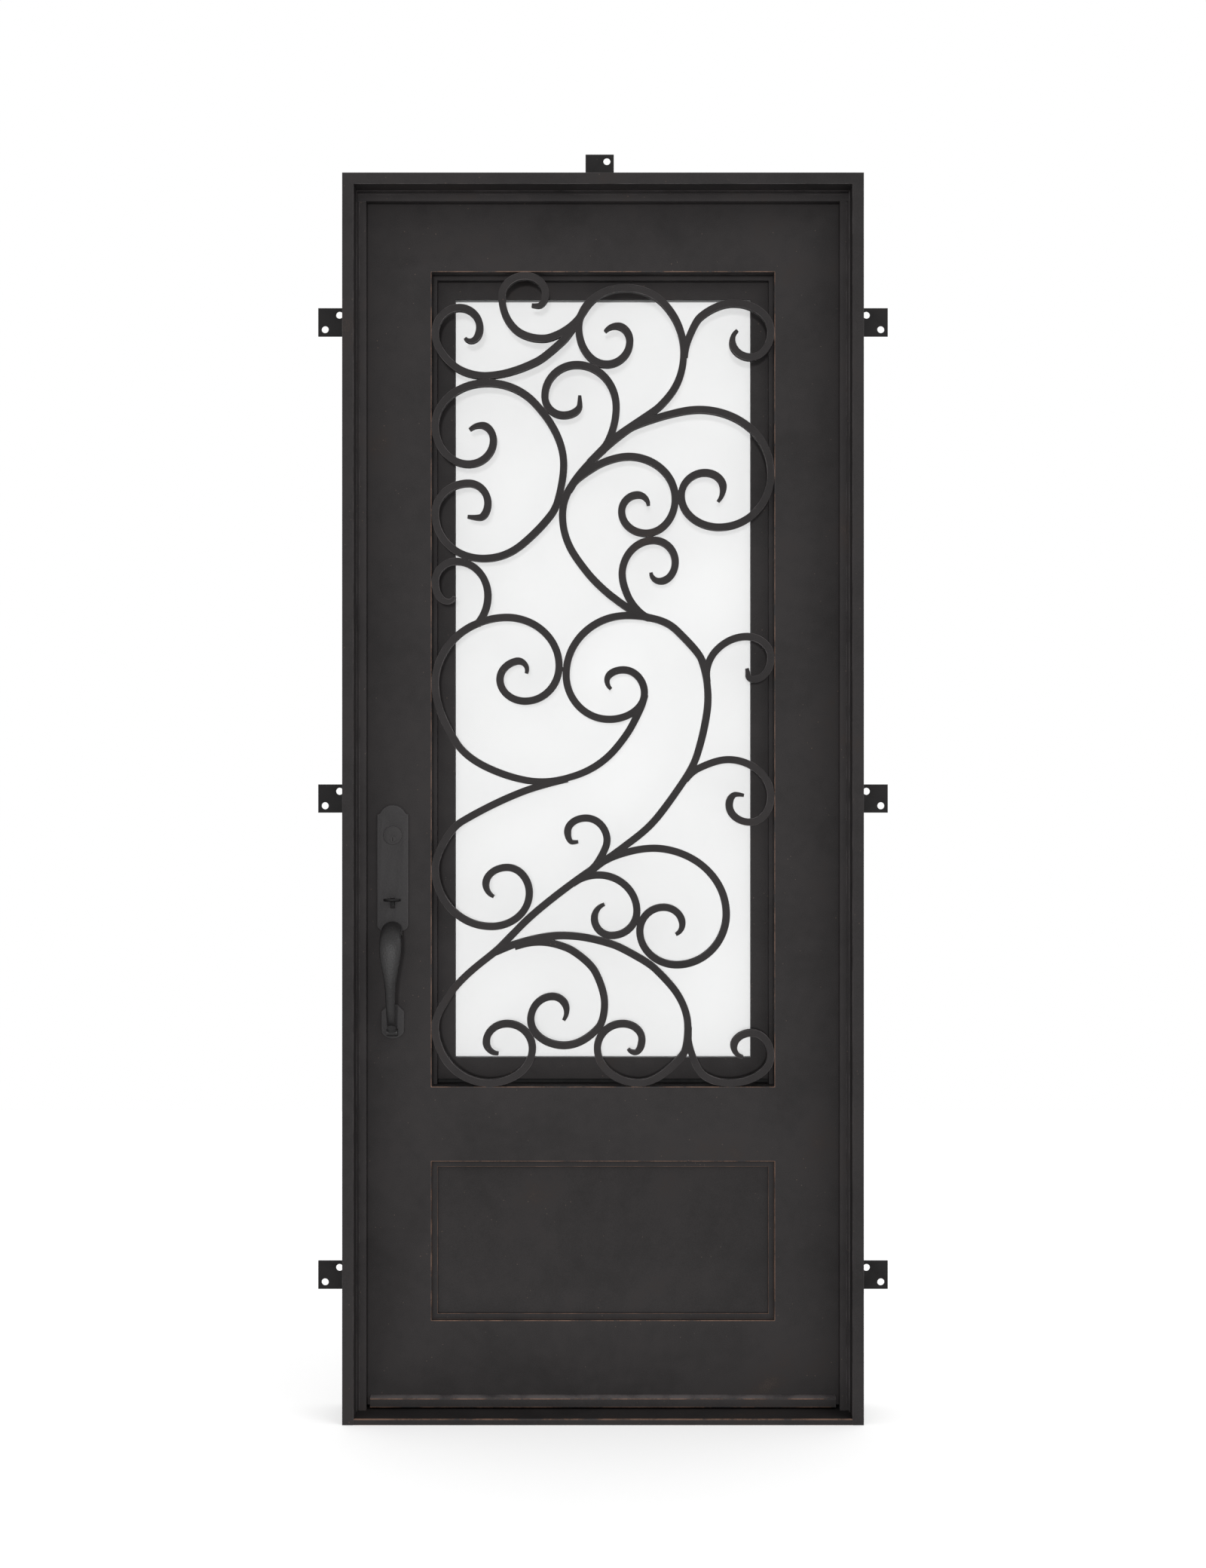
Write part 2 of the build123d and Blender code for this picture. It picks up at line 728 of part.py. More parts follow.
# Handleset
def backplate_profile():
    """Arched at the top, and drawn in by two coves to a neck under the grip."""
    half = plate_width / 2
    shoulder = plate_top - plate_arch_rise
    neck = half - plate_cove
    arch = half - plate_ear_width
    arch_foot = shoulder + plate_ear_rise
    ear = half - plate_ear_width / 2 - plate_ear_sag / 2
    ear_z = shoulder + plate_ear_rise / 2 - plate_ear_sag
    lines = ThreePointArc(
        (handle_x - arch, arch_foot), (handle_x - ear, ear_z), (handle_x - half, shoulder)
    ) + Polyline(
        (handle_x - half, shoulder), (handle_x - half, plate_shoulder_z),
    ) + RadiusArc(
        (handle_x - half, plate_shoulder_z), (handle_x - neck, plate_shoulder_z - plate_cove), -plate_cove
    ) + Polyline(
        (handle_x - neck, plate_shoulder_z - plate_cove), (handle_x - neck, plate_neck_z),
        (handle_x + neck, plate_neck_z), (handle_x + neck, plate_shoulder_z - plate_cove),
    ) + RadiusArc(
        (handle_x + neck, plate_shoulder_z - plate_cove), (handle_x + half, plate_shoulder_z), -plate_cove
    ) + Line(
        (handle_x + half, plate_shoulder_z), (handle_x + half, shoulder)
    ) + ThreePointArc(
        (handle_x + half, shoulder), (handle_x + ear, ear_z), (handle_x + arch, arch_foot)
    ) + ThreePointArc(
        (handle_x + arch, arch_foot), (handle_x, plate_top), (handle_x - arch, arch_foot)
    )
    return make_face(lines)


def handle_backplate():
    body = plate(backplate_profile(), plate_y, leaf_y)
    rim = body.faces().sort_by(Axis.Y)[0].edges()
    body = chamfer(rim, plate_bevel)
    hole = Pos(handle_x, 0, cylinder_z) * (Rot(90, 0, 0) * Cylinder(cylinder_radius + cylinder_seam, 100))
    slot = block(
        handle_x - thumb_slot_width / 2, handle_x + thumb_slot_width / 2, plate_y, leaf_y,
        thumb_z - thumb_slot_height / 2, thumb_z + thumb_slot_height / 2,
    )
    pin_y = (plate_y + leaf_y) / 2
    pin = Pos(handle_x, pin_y, thumb_z) * (Rot(0, 90, 0) * Cylinder(thumb_pin_radius, thumb_slot_width))
    return body - hole - slot + pin


def plug_axis_z():
    return cylinder_z - plug_drop


def lock_cylinder():
    depth = plate_thickness + cylinder_proud
    y = leaf_y - depth / 2
    body = Pos(handle_x, y, cylinder_z) * (Rot(90, 0, 0) * Cylinder(cylinder_radius, depth))
    bore = Pos(handle_x, y, plug_axis_z()) * (
        Rot(90, 0, 0) * Cylinder(plug_radius + running_clearance, depth)
    )
    return body - bore


def key_plug():
    depth = plate_thickness + cylinder_proud - soft_gap
    y1 = leaf_y - soft_gap
    body = Pos(handle_x, y1 - depth / 2, plug_axis_z()) * (Rot(90, 0, 0) * Cylinder(plug_radius, depth))
    slot = block(
        handle_x - key_slot_width / 2, handle_x + key_slot_width / 2,
        y1 - depth, y1 - depth + key_slot_depth,
        plug_axis_z() - key_slot_height / 2, plug_axis_z() + key_slot_height / 2,
    )
    return body - slot


def thumb_piece():
    """A saucer for the thumb, on a stem whose eye turns on the pin in the backplate's slot."""
    pin_y = (plate_y + leaf_y) / 2
    half = thumb_stem_width / 2
    stem = block(
        handle_x - half, handle_x + half, plate_y - thumb_stem_reach, plate_y - 1,
        thumb_z - thumb_stem_height / 2, thumb_z + thumb_stem_height / 2,
    )
    neck = block(
        handle_x - half, handle_x + half, plate_y - 1, pin_y,
        thumb_z - thumb_eye_radius, thumb_z + thumb_eye_radius,
    )
    across_pin = Pos(handle_x, pin_y, thumb_z) * Rot(0, 90, 0)
    eye = across_pin * Cylinder(thumb_eye_radius, thumb_stem_width)
    bore = across_pin * Cylinder(thumb_pin_radius + running_clearance, thumb_slot_width)
    pad_y = plate_y - thumb_pad_gap - thumb_pad_reach / 2
    pad = Pos(handle_x, pad_y, thumb_z + thumb_stem_height / 2) * extrude(
        Ellipse(thumb_pad_width / 2, thumb_pad_reach / 2), thumb_pad_thickness
    )
    pad = fillet(pad.edges().group_by(Axis.Z)[0], thumb_pad_thickness * 0.6)
    return stem + neck + eye + pad - bore


def handle_grip():
    """A cast grip that springs from the backplate, swells under the hand and thins to its foot."""
    spots = [Vector(0, plate_y - grip_seat - stand, lock_z - drop) for stand, drop, _, _ in grip_stations]
    path = Spline(*spots, tangents=[(0, -1, 0), (0, 1, 0)])
    sections = []
    for point, (_, _, width, thick) in zip(spots, grip_stations):
        place = path.param_at_point(point)
        spot = path.position_at(place)
        way = path.tangent_at(place)
        plane = Plane(origin=spot, x_dir=(1, 0, 0), z_dir=way)
        sections.append(plane * Ellipse(width / 2, thick / 2))
    grip = loft(sections)
    roll = Pos(0, plate_y - roll_stand, spots[-1].Z) * (Rot(0, 90, 0) * Cylinder(roll_radius, roll_length))
    return Pos(handle_x, 0, 0) * (grip + roll)


def handle_rosette():
    half = rosette_width / 2
    flat = half - rosette_chamfer
    lines = Polyline(
        (handle_x - half, rosette_corner_z), (handle_x - half, rosette_shoulder_z),
        (handle_x - flat, rosette_top), (handle_x + flat, rosette_top),
        (handle_x + half, rosette_shoulder_z), (handle_x + half, rosette_corner_z),
    ) + ThreePointArc(
        (handle_x + half, rosette_corner_z), (handle_x, rosette_foot_z), (handle_x - half, rosette_corner_z)
    )
    body = plate(make_face(lines), plate_y, leaf_y)
    rim = body.faces().sort_by(Axis.Y)[0].edges()
    return chamfer(rim, plate_bevel)


# Inside furniture
def inner_escutcheon():
    half = plate_width / 2
    top = plate_top - plate_arch_rise
    low = inner_plate_bottom
    lines = Line((handle_x - half, low), (handle_x - half, top)) + ThreePointArc(
        (handle_x - half, top), (handle_x, plate_top), (handle_x + half, top)
    ) + Line((handle_x + half, top), (handle_x + half, low)) + ThreePointArc(
        (handle_x + half, low), (handle_x, low - plate_arch_rise), (handle_x - half, low)
    )
    body = plate(make_face(lines), back_y, back_y + plate_thickness)
    rim = body.faces().sort_by(Axis.Y)[-1].edges()
    return chamfer(rim, plate_bevel)


def inner_lever():
    """A lever that points towards the hinges, on a round rose."""
    y0 = back_y + plate_thickness
    neck = Pos(handle_x, y0 + lever_standoff / 2, thumb_z) * (
        Rot(90, 0, 0) * Cylinder(lever_radius, lever_standoff)
    )
    rose = Pos(handle_x, y0 + rose_height / 2, thumb_z) * (
        Rot(90, 0, 0) * Cylinder(rose_radius, rose_height)
    )
    arm_y = y0 + lever_standoff - lever_radius
    arm = Pos(handle_x + lever_length / 2, arm_y, thumb_z) * (
        Rot(0, 90, 0) * Cylinder(lever_radius - 1, lever_length)
    )
    return neck + rose + arm


def inner_thumb_turn():
    y0 = back_y + plate_thickness
    rose = Pos(handle_x, y0 + rose_height / 2, plug_axis_z()) * (
        Rot(90, 0, 0) * Cylinder(rose_radius, rose_height)
    )
    grip = block(
        handle_x - turn_width / 2, handle_x + turn_width / 2,
        y0 + rose_height, y0 + rose_height + turn_height,
        plug_axis_z() - turn_length / 2, plug_axis_z() + turn_length / 2,
    )
    return rose + grip


def strike_plate():
    """A plate let into the lock jamb, with a pocket behind each bolt."""
    low = lock_z - faceplate_height / 2
    body = block(
        -clear_half - faceplate_thickness, -clear_half,
        leaf_middle_y - faceplate_width / 2, leaf_middle_y + faceplate_width / 2,
        low, low + faceplate_height,
    )
    for z in (plug_axis_z(), thumb_z):
        body -= block(
            -clear_half - strike_pocket, -clear_half,
            leaf_middle_y - bolt_width / 2, leaf_middle_y + bolt_width / 2,
            z - bolt_height / 2, z + bolt_height / 2,
        )
    return body


pieces = {
    "jamb_left": jamb_left(),
    "jamb_right": jamb_right(),
    "head_jamb": head_jamb(),
    "sill": sill(),
    "stop_left": stop_left(),
    "stop_right": stop_right(),
    "stop_head": stop_head(),
    "weatherstrip": weatherstrip(),
    "mounting_tabs_left": mounting_tabs(-1),
    "mounting_tabs_right": mounting_tabs(1),
    "mounting_tab_top": mounting_tab_top(),
    "strike_plate": strike_plate(),
    "hinge_lower_frame_half": frame_knuckle(-1),
    "hinge_middle_frame_half": frame_knuckle(0),
    "hinge_upper_frame_half": frame_knuckle(1),
    "hinge_lower_leaf_half": leaf_knuckle(-1),
    "hinge_middle_leaf_half": leaf_knuckle(0),
    "hinge_upper_leaf_half": leaf_knuckle(1),
    "leaf_stile_lock": leaf_stile_lock(),
    "leaf_stile_hinge": leaf_stile_hinge(),
    "leaf_rail_top": leaf_rail(opening_top, leaf_top),
    "leaf_rail_middle": leaf_rail(panel_top, opening_bottom),
    "leaf_rail_bottom": leaf_rail(leaf_bottom, panel_bottom),
    "lower_panel": lower_panel(),
    "drip_strip": drip_strip(),
    "bottom_sweep": bottom_sweep(),
    "sash_stop_strip": sash_stop_strip(),
    "sash_frame": sash_frame(),
    "insulated_glass": insulated_glass(),
    "glazing_bead": glazing_bead(),
    "sash_hinges": sash_hinges(),
    "sash_latches": sash_latches(),
    "scroll_grille": scroll_grille(),
    "lock_faceplate": lock_faceplate(),
    "handle_backplate": handle_backplate(),
    "handle_grip": handle_grip(),
    "handle_rosette": handle_rosette(),
    "lock_cylinder": lock_cylinder(),
    "key_plug": key_plug(),
    "thumb_piece": thumb_piece(),
    "inner_escutcheon": inner_escutcheon(),
    "inner_lever": inner_lever(),
    "inner_thumb_turn": inner_thumb_turn(),
}
for name, piece in pieces.items():
    export_step(piece, f"parts/{name}.step")
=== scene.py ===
import json
import math

import bmesh
import bpy
from bpy.props import FloatProperty, FloatVectorProperty, PointerProperty
from mathutils import Matrix, Vector

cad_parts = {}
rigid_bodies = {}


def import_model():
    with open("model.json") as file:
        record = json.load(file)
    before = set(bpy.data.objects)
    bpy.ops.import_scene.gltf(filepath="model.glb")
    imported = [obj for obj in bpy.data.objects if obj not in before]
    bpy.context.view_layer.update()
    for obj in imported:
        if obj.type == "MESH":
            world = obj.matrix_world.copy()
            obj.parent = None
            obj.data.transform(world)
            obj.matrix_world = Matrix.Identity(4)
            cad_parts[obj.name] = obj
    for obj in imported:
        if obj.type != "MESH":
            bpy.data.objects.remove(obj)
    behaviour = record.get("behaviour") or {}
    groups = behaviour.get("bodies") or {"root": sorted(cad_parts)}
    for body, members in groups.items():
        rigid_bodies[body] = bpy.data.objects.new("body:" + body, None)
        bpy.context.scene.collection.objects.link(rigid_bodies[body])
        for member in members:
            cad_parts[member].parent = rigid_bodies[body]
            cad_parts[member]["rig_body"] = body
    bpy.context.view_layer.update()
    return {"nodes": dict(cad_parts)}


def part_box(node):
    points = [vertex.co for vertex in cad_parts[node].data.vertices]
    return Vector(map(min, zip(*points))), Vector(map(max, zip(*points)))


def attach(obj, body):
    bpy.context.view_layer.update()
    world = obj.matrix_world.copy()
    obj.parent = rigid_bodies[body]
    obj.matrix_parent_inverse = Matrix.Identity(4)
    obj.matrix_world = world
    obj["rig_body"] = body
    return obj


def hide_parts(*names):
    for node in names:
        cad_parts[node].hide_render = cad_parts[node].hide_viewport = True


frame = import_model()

bl_info = {
    "name": "Glazed entrance door finish",
    "version": (1, 0, 0),
    "blender": (4, 5, 0),
    "location": "View3D > Sidebar > Door",
    "description": "Coats, glass, seals and furniture for a glazed steel entrance door",
    "category": "Object",
}

NODES = frame["nodes"]


# Sizes and colours that a user would change
class DoorSizes(bpy.types.PropertyGroup):
    """Small sizes of the finish."""

    arris: FloatProperty(
        name="Arris", description="Width of the eased edge on the leaf and frame",
        default=0.0011, min=0.0002, max=0.003, unit="LENGTH",
    )
    bar_arris: FloatProperty(
        name="Bar arris", description="Width of the eased edge on the grille's bars",
        default=0.0007, min=0.0002, max=0.002, unit="LENGTH",
    )
    furniture_arris: FloatProperty(
        name="Furniture arris", description="Width of the eased edge on the handleset",
        default=0.0006, min=0.0002, max=0.002, unit="LENGTH",
    )
    pane_thickness: FloatProperty(
        name="Pane thickness", description="Thickness of each pane of the sealed unit",
        default=0.004, min=0.002, max=0.008, unit="LENGTH",
    )
    screw_radius: FloatProperty(
        name="Screw head radius", description="Radius of the small screw heads",
        default=0.0035, min=0.001, max=0.006, unit="LENGTH",
    )


class DoorColours(bpy.types.PropertyGroup):
    """Colours of the finish."""

    coat: FloatVectorProperty(
        name="Coat", description="Charcoal powder coat", subtype="COLOR", size=3,
        default=(0.0315, 0.0288, 0.0290), min=0, max=1,
    )
    arris_metal: FloatVectorProperty(
        name="Worn arris", description="Coppery undercoat that shows on the arrises", subtype="COLOR",
        size=3, default=(0.150, 0.088, 0.062), min=0, max=1,
    )
    tab: FloatVectorProperty(
        name="Tab", description="Black coat of the mounting tabs", subtype="COLOR", size=3,
        default=(0.0190, 0.0180, 0.0182), min=0, max=1,
    )
    bronze: FloatVectorProperty(
        name="Bronze", description="Dark coat of the cast handleset", subtype="COLOR", size=3,
        default=(0.0350, 0.0330, 0.0336), min=0, max=1,
    )
    pane: FloatVectorProperty(
        name="Frosted pane", description="Pale face of the frosted pane", subtype="COLOR", size=3,
        default=(0.93, 0.93, 0.935), min=0, max=1,
    )
    rubber: FloatVectorProperty(
        name="Seal", description="Black rubber of the seals", subtype="COLOR", size=3,
        default=(0.008, 0.008, 0.008), min=0, max=1,
    )
    lock_metal: FloatVectorProperty(
        name="Lock metal", description="Brushed steel of the lock's plates and bolts", subtype="COLOR",
        size=3, default=(0.32, 0.31, 0.30), min=0, max=1,
    )


# Materials
class Finish:
    """One procedural material on object coordinates."""

    def __init__(self, name, roughness=0.5, metallic=0.0, specular=0.5):
        self.material = bpy.data.materials.new(name)
        self.material.use_nodes = True
        self.tree = self.material.node_tree
        self.shader = self.tree.nodes["Principled BSDF"]
        self.shader.inputs["Roughness"].default_value = roughness
        self.shader.inputs["Metallic"].default_value = metallic
        self.shader.inputs["Specular IOR Level"].default_value = specular
        self.coords = self.tree.nodes.new("ShaderNodeTexCoord").outputs["Object"]

    def link(self, start, end):
        self.tree.links.new(start, end)

    def stretched(self, scale):
        """Object coordinates stretched by a scale for each axis."""
        node = self.tree.nodes.new("ShaderNodeMapping")
        node.inputs["Scale"].default_value = scale
        self.link(self.coords, node.inputs["Vector"])
        return node.outputs["Vector"]

    def noise(self, scale, detail=3.0, vector=None, roughness=0.5):
        node = self.tree.nodes.new("ShaderNodeTexNoise")
        node.inputs["Scale"].default_value = scale
        node.inputs["Detail"].default_value = detail
        node.inputs["Roughness"].default_value = roughness
        self.link(vector or self.coords, node.inputs["Vector"])
        return node.outputs["Fac"]

    def cells(self, scale, smooth=True):
        node = self.tree.nodes.new("ShaderNodeTexVoronoi")
        node.feature = "SMOOTH_F1" if smooth else "F1"
        node.inputs["Scale"].default_value = scale
        self.link(self.coords, node.inputs["Vector"])
        return node.outputs["Distance"]

    def sum(self, first, second, share):
        """first plus a share of second."""
        node = self.tree.nodes.new("ShaderNodeMath")
        node.operation = "MULTIPLY_ADD"
        self.link(second, node.inputs[0])
        node.inputs[1].default_value = share
        self.link(first, node.inputs[2])
        return node.outputs["Value"]

    def product(self, first, second):
        node = self.tree.nodes.new("ShaderNodeMath")
        node.operation = "MULTIPLY"
        self.link(first, node.inputs[0])
        self.link(second, node.inputs[1])
        return node.outputs["Value"]

    def span(self, value, low, high, to_low, to_high):
        node = self.tree.nodes.new("ShaderNodeMapRange")
        for name, number in (
            ("From Min", low), ("From Max", high), ("To Min", to_low), ("To Max", to_high),
        ):
            node.inputs[name].default_value = number
        self.link(value, node.inputs["Value"])
        return node.outputs["Result"]

    def colours(self, value, stops):
        """A ramp of colours along a value, on the shader's base colour."""
        node = self.tree.nodes.new("ShaderNodeValToRGB")
        ramp = node.color_ramp
        while len(ramp.elements) < len(stops):
            ramp.elements.new(0.5)
        for element, (place, colour) in zip(ramp.elements, stops):
            element.position = place
            element.color = (*colour, 1.0)
        self.link(value, node.inputs["Fac"])
        self.link(node.outputs["Color"], self.shader.inputs["Base Color"])

    def rough(self, value, low, high, to_low, to_high):
        self.link(self.span(value, low, high, to_low, to_high), self.shader.inputs["Roughness"])

    def bump(self, value, strength, distance):
        node = self.tree.nodes.new("ShaderNodeBump")
        node.inputs["Strength"].default_value = strength
        node.inputs["Distance"].default_value = distance
        self.link(value, node.inputs["Height"])
        self.link(node.outputs["Normal"], self.shader.inputs["Normal"])


def times(colour, factor):
    return tuple(min(1.0, c * factor) for c in colour)


def coat_finish(name, colour):
    """Satin powder coat: soft clouds, a fine grain and sparse pale specks."""
    finish = Finish(name, roughness=0.66, specular=0.12)
    clouds = finish.noise(5.0, 6.0, roughness=0.6)
    blotches = finish.noise(38.0, 3.0)
    grain = finish.noise(520.0, 2.0)
    tone = finish.sum(finish.sum(clouds, blotches, 0.22), grain, 0.42)
    spots = finish.span(finish.cells(70.0, smooth=False), 0.065, 0.10, 1.0, 0.0)
    chosen = finish.span(finish.noise(17.0, 2.0), 0.48, 0.54, 0.0, 1.0)
    specks = finish.product(spots, chosen)
    warm = (colour[0] * 1.16, colour[1] * 1.08, colour[2] * 1.02)
    speck = (colour[0] * 2.6, colour[1] * 2.2, colour[2] * 1.9)
    finish.colours(finish.sum(finish.span(tone, 0.56, 1.08, 0.0, 0.8), specks, 0.6), [
        (0.08, times(colour, 0.76)), (0.38, colour), (0.55, times(colour, 1.13)), (0.72, warm), (1.0, speck),
    ])
    finish.rough(clouds, 0.35, 0.65, 0.60, 0.70)
    finish.bump(finish.noise(900.0, 3.0), 0.16, 0.0004)
    return finish.material


def wear_and_highlight_arris_finish(name, coat, metal, covered, shown):
    """An arris whose coppery undercoat shows through a coat painted lighter as a highlight, broken where the
    coat still covers it; given a lighter copy of the coat in place of the undercoat, the whole arris is a
    painted highlight.
    """
    finish = Finish(name, roughness=0.5, specular=0.25)
    streaks = finish.noise(21.0, 4.0)
    crumbs = finish.noise(330.0, 2.0)
    amount = finish.sum(streaks, crumbs, 0.4)
    # The covered stop is the coat lightened by 1.3, a painted highlight. The shown colour is the coppery
    # undercoat on worn arrises, and a lighter copy of the coat where the whole arris is a painted highlight.
    finish.colours(amount, [
        (covered, times(coat, 1.3)), ((covered + shown) / 2, times(metal, 0.55)), (shown, metal),
        (min(1.0, shown + 0.14), times(metal, 1.4)),
    ])
    finish.rough(crumbs, 0.3, 0.7, 0.42, 0.6)
    return finish.material


def cast_finish(name, colour, roughness=0.6, specular=0.22, depth=0.0006):
    """Cast metal, lightly hammered under a dark coat."""
    finish = Finish(name, roughness=roughness, specular=specular)
    dimples = finish.cells(300.0)
    grain = finish.noise(620.0, 3.0)
    clouds = finish.noise(24.0, 4.0)
    tone = finish.sum(finish.sum(clouds, dimples, 0.25), grain, 0.25)
    finish.colours(tone, [
        (0.50, times(colour, 0.88)), (0.72, colour), (0.95, times(colour, 1.16)),
    ])
    finish.rough(clouds, 0.35, 0.65, roughness - 0.05, roughness + 0.05)
    finish.bump(finish.sum(dimples, grain, 0.8), 0.5, depth)
    return finish.material


def rubber_finish(colour):
    finish = Finish("seal_rubber_black", roughness=0.8, specular=0.3)
    ribs = finish.noise(90.0, 2.0, finish.stretched((1.0, 8.0, 0.2)))
    finish.colours(ribs, [(0.3, times(colour, 0.7)), (0.7, times(colour, 1.4))])
    finish.bump(ribs, 0.3, 0.0004)
    return finish.material


def lock_finish(colour):
    """Steel brushed along its length."""
    finish = Finish("lock_steel_brushed", roughness=0.35, metallic=0.9)
    brushing = finish.noise(60.0, 3.0, finish.stretched((30.0, 30.0, 1.0)))
    finish.colours(brushing, [(0.3, times(colour, 0.8)), (0.7, times(colour, 1.15))])
    finish.rough(brushing, 0.3, 0.7, 0.28, 0.42)
    finish.bump(brushing, 0.1, 0.0002)
    return finish.material


def frosted_finish(colour):
    """The frosted face of the rear pane, through which part of the light comes."""
    finish = Finish("frosted_face", roughness=0.5, specular=0.15)
    etch = finish.noise(900.0, 2.0)
    drift = finish.noise(1.6, 2.0)
    tone = finish.sum(drift, etch, 0.2)
    finish.colours(tone, [(0.3, times(colour, 0.985)), (0.8, colour)])
    finish.rough(etch, 0.3, 0.7, 0.45, 0.55)
    finish.shader.inputs["Alpha"].default_value = 0.40
    return finish.material


def clear_finish():
    """Clear float glass."""
    finish = Finish("clear_pane", roughness=0.16, specular=0.12)
    finish.colours(finish.noise(2.0, 1.0), [(0.3, (0.82, 0.85, 0.84)), (0.7, (0.84, 0.86, 0.85))])
    finish.shader.inputs["Alpha"].default_value = 0.035
    return finish.material


def edge_spacer_finish():
    finish = Finish("glass_spacer", roughness=0.4, metallic=0.85)
    grain = finish.noise(300.0, 2.0)
    finish.colours(grain, [(0.3, (0.30, 0.30, 0.31)), (0.7, (0.38, 0.38, 0.39))])
    return finish.material


def finishes():
    """Every material, made once and looked up by name."""
    colours = bpy.context.scene.door_colours
    coat = tuple(colours.coat)
    metal = tuple(colours.arris_metal)
    bronze = tuple(colours.bronze)
    return {
        "coat": lambda: coat_finish("powder_coat", coat),
        # The frame takes the coat darkened by 0.92: painted shade, offsetting the fuller light that the jambs,
        # head and sill get.
        "frame_coat_painted_shade": lambda: coat_finish("powder_coat_frame_painted_shade", times(coat, 0.92)),
        # The lower panel takes the coat darkened by 0.95: painted shade.
        "panel_coat_painted_shade": lambda: coat_finish("powder_coat_panel_painted_shade", times(coat, 0.95)),
        # The sash, its stop strip and its bead take the coat lightened by 1.12: painted light.
        "sash_coat_painted_light": lambda: coat_finish("powder_coat_sash_painted_light", times(coat, 1.12)),
        # The grille's bars take the coat darkened by 0.98: painted shade.
        "bar_coat_painted_shade": lambda: coat_finish("powder_coat_bars_painted_shade", times(coat, 0.98)),
        # The stops take the coat lightened by 1.22: painted light in the reveal.
        "stop_coat_painted_light": lambda: coat_finish("powder_coat_stops_painted_light", times(coat, 1.22)),
        "tab": lambda: coat_finish("powder_coat_tabs", tuple(colours.tab)),
        "arris": lambda: wear_and_highlight_arris_finish("worn_arris_and_highlight", coat, times(metal, 1.15), 0.58, 0.73),
        # The coat lightened by 2.9: a painted highlight on the drip's upward faces and on the reveal seam.
        "pale_coat_painted_highlight": lambda: wear_and_highlight_arris_finish("powder_coat_painted_highlight", coat, times(coat, 2.9), 0.30, 0.62),
        "faint_arris": lambda: wear_and_highlight_arris_finish("faint_arris", coat, times(metal, 0.85), 0.46, 0.76),
        # The coat lightened by 3.0 on the arrises of the bars, stops and frame tubes: a painted highlight.
        "bar_arris": lambda: wear_and_highlight_arris_finish("bar_arris", coat, times(coat, 3.0), 0.52, 0.74),
        "bronze": lambda: cast_finish("cast_bronze", bronze),
        # The bronze lightened by 1.5 on the furniture's bevels and the inner screw heads: a painted highlight.
        "bronze_painted_highlight": lambda: cast_finish("cast_bronze_painted_highlight", times(bronze, 1.5)),
        # Darker copies of the bronze as painted shade: the grip at 0.52 and glossier, the thumb piece at 0.22.
        "grip_bronze_painted_shade": lambda: cast_finish("grip_bronze_painted_shade", times(bronze, 0.52), 0.46, 0.36, 0.0008),
        "thumb_bronze_painted_shade": lambda: cast_finish("thumb_bronze_painted_shade", times(bronze, 0.22), 0.5, 0.2, 0.0004),
        "rubber": lambda: rubber_finish(tuple(colours.rubber)),
        "lock": lambda: lock_finish(tuple(colours.lock_metal)),
        "frosted": lambda: frosted_finish(tuple(colours.pane)),
        "clear": clear_finish,
        "spacer": edge_spacer_finish,
    }


_materials = {}


def finish_named(name):
    if name not in _materials:
        _materials[name] = finishes()[name]()
    return _materials[name]


# Mesh helpers
def merged_copy(node, flat=0.5):
    """A CAD node's mesh with its triangles joined, and its flat faces made whole."""
    bm = bmesh.new()
    bm.from_mesh(NODES[node].data)
    bmesh.ops.remove_doubles(bm, verts=bm.verts, dist=4e-6)
    if flat:
        bmesh.ops.dissolve_limit(bm, angle_limit=math.radians(flat), verts=bm.verts, edges=bm.edges)
    return bm


def sharp_edges(bm, angle=30.0):
    return [e for e in bm.edges if e.is_manifold and e.calc_face_angle() > math.radians(angle)]


def ease(bm, edges, width, segments=2, mark=True):
    """Bevels edges, and gives the new faces the second material."""
    if not edges:
        raise RuntimeError("there is no edge to ease")
    made = bmesh.ops.bevel(
        bm, geom=edges, offset=width, offset_type="OFFSET", segments=segments, profile=0.5,
        affect="EDGES", clamp_overlap=False, material=-1,
    )
    if mark:
        for face in made["faces"]:
            face.material_index = 1


def add_piece(name, bm, body, materials, stands_for=(), smooth=35.0):
    """Turns a bmesh into a piece that rides on a body."""
    mesh = bpy.data.meshes.new(name)
    bm.to_mesh(mesh)
    bm.free()
    old = mesh.attributes.get("custom_normal")
    if old:
        mesh.attributes.remove(old)
    for material in materials:
        mesh.materials.append(finish_named(material))
    mesh.polygons.foreach_set("use_smooth", [True] * len(mesh.polygons))
    mesh.set_sharp_from_angle(angle=math.radians(smooth))
    piece = bpy.data.objects.new(name, mesh)
    bpy.context.scene.collection.objects.link(piece)
    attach(piece, body)
    if stands_for:
        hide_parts(*stands_for)
    return piece


def body_of(node):
    return NODES[node]["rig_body"]


def set_material(node, material):
    """Gives a CAD node that stays one material."""
    data = NODES[node].data
    data.materials.clear()
    data.materials.append(finish_named(material))


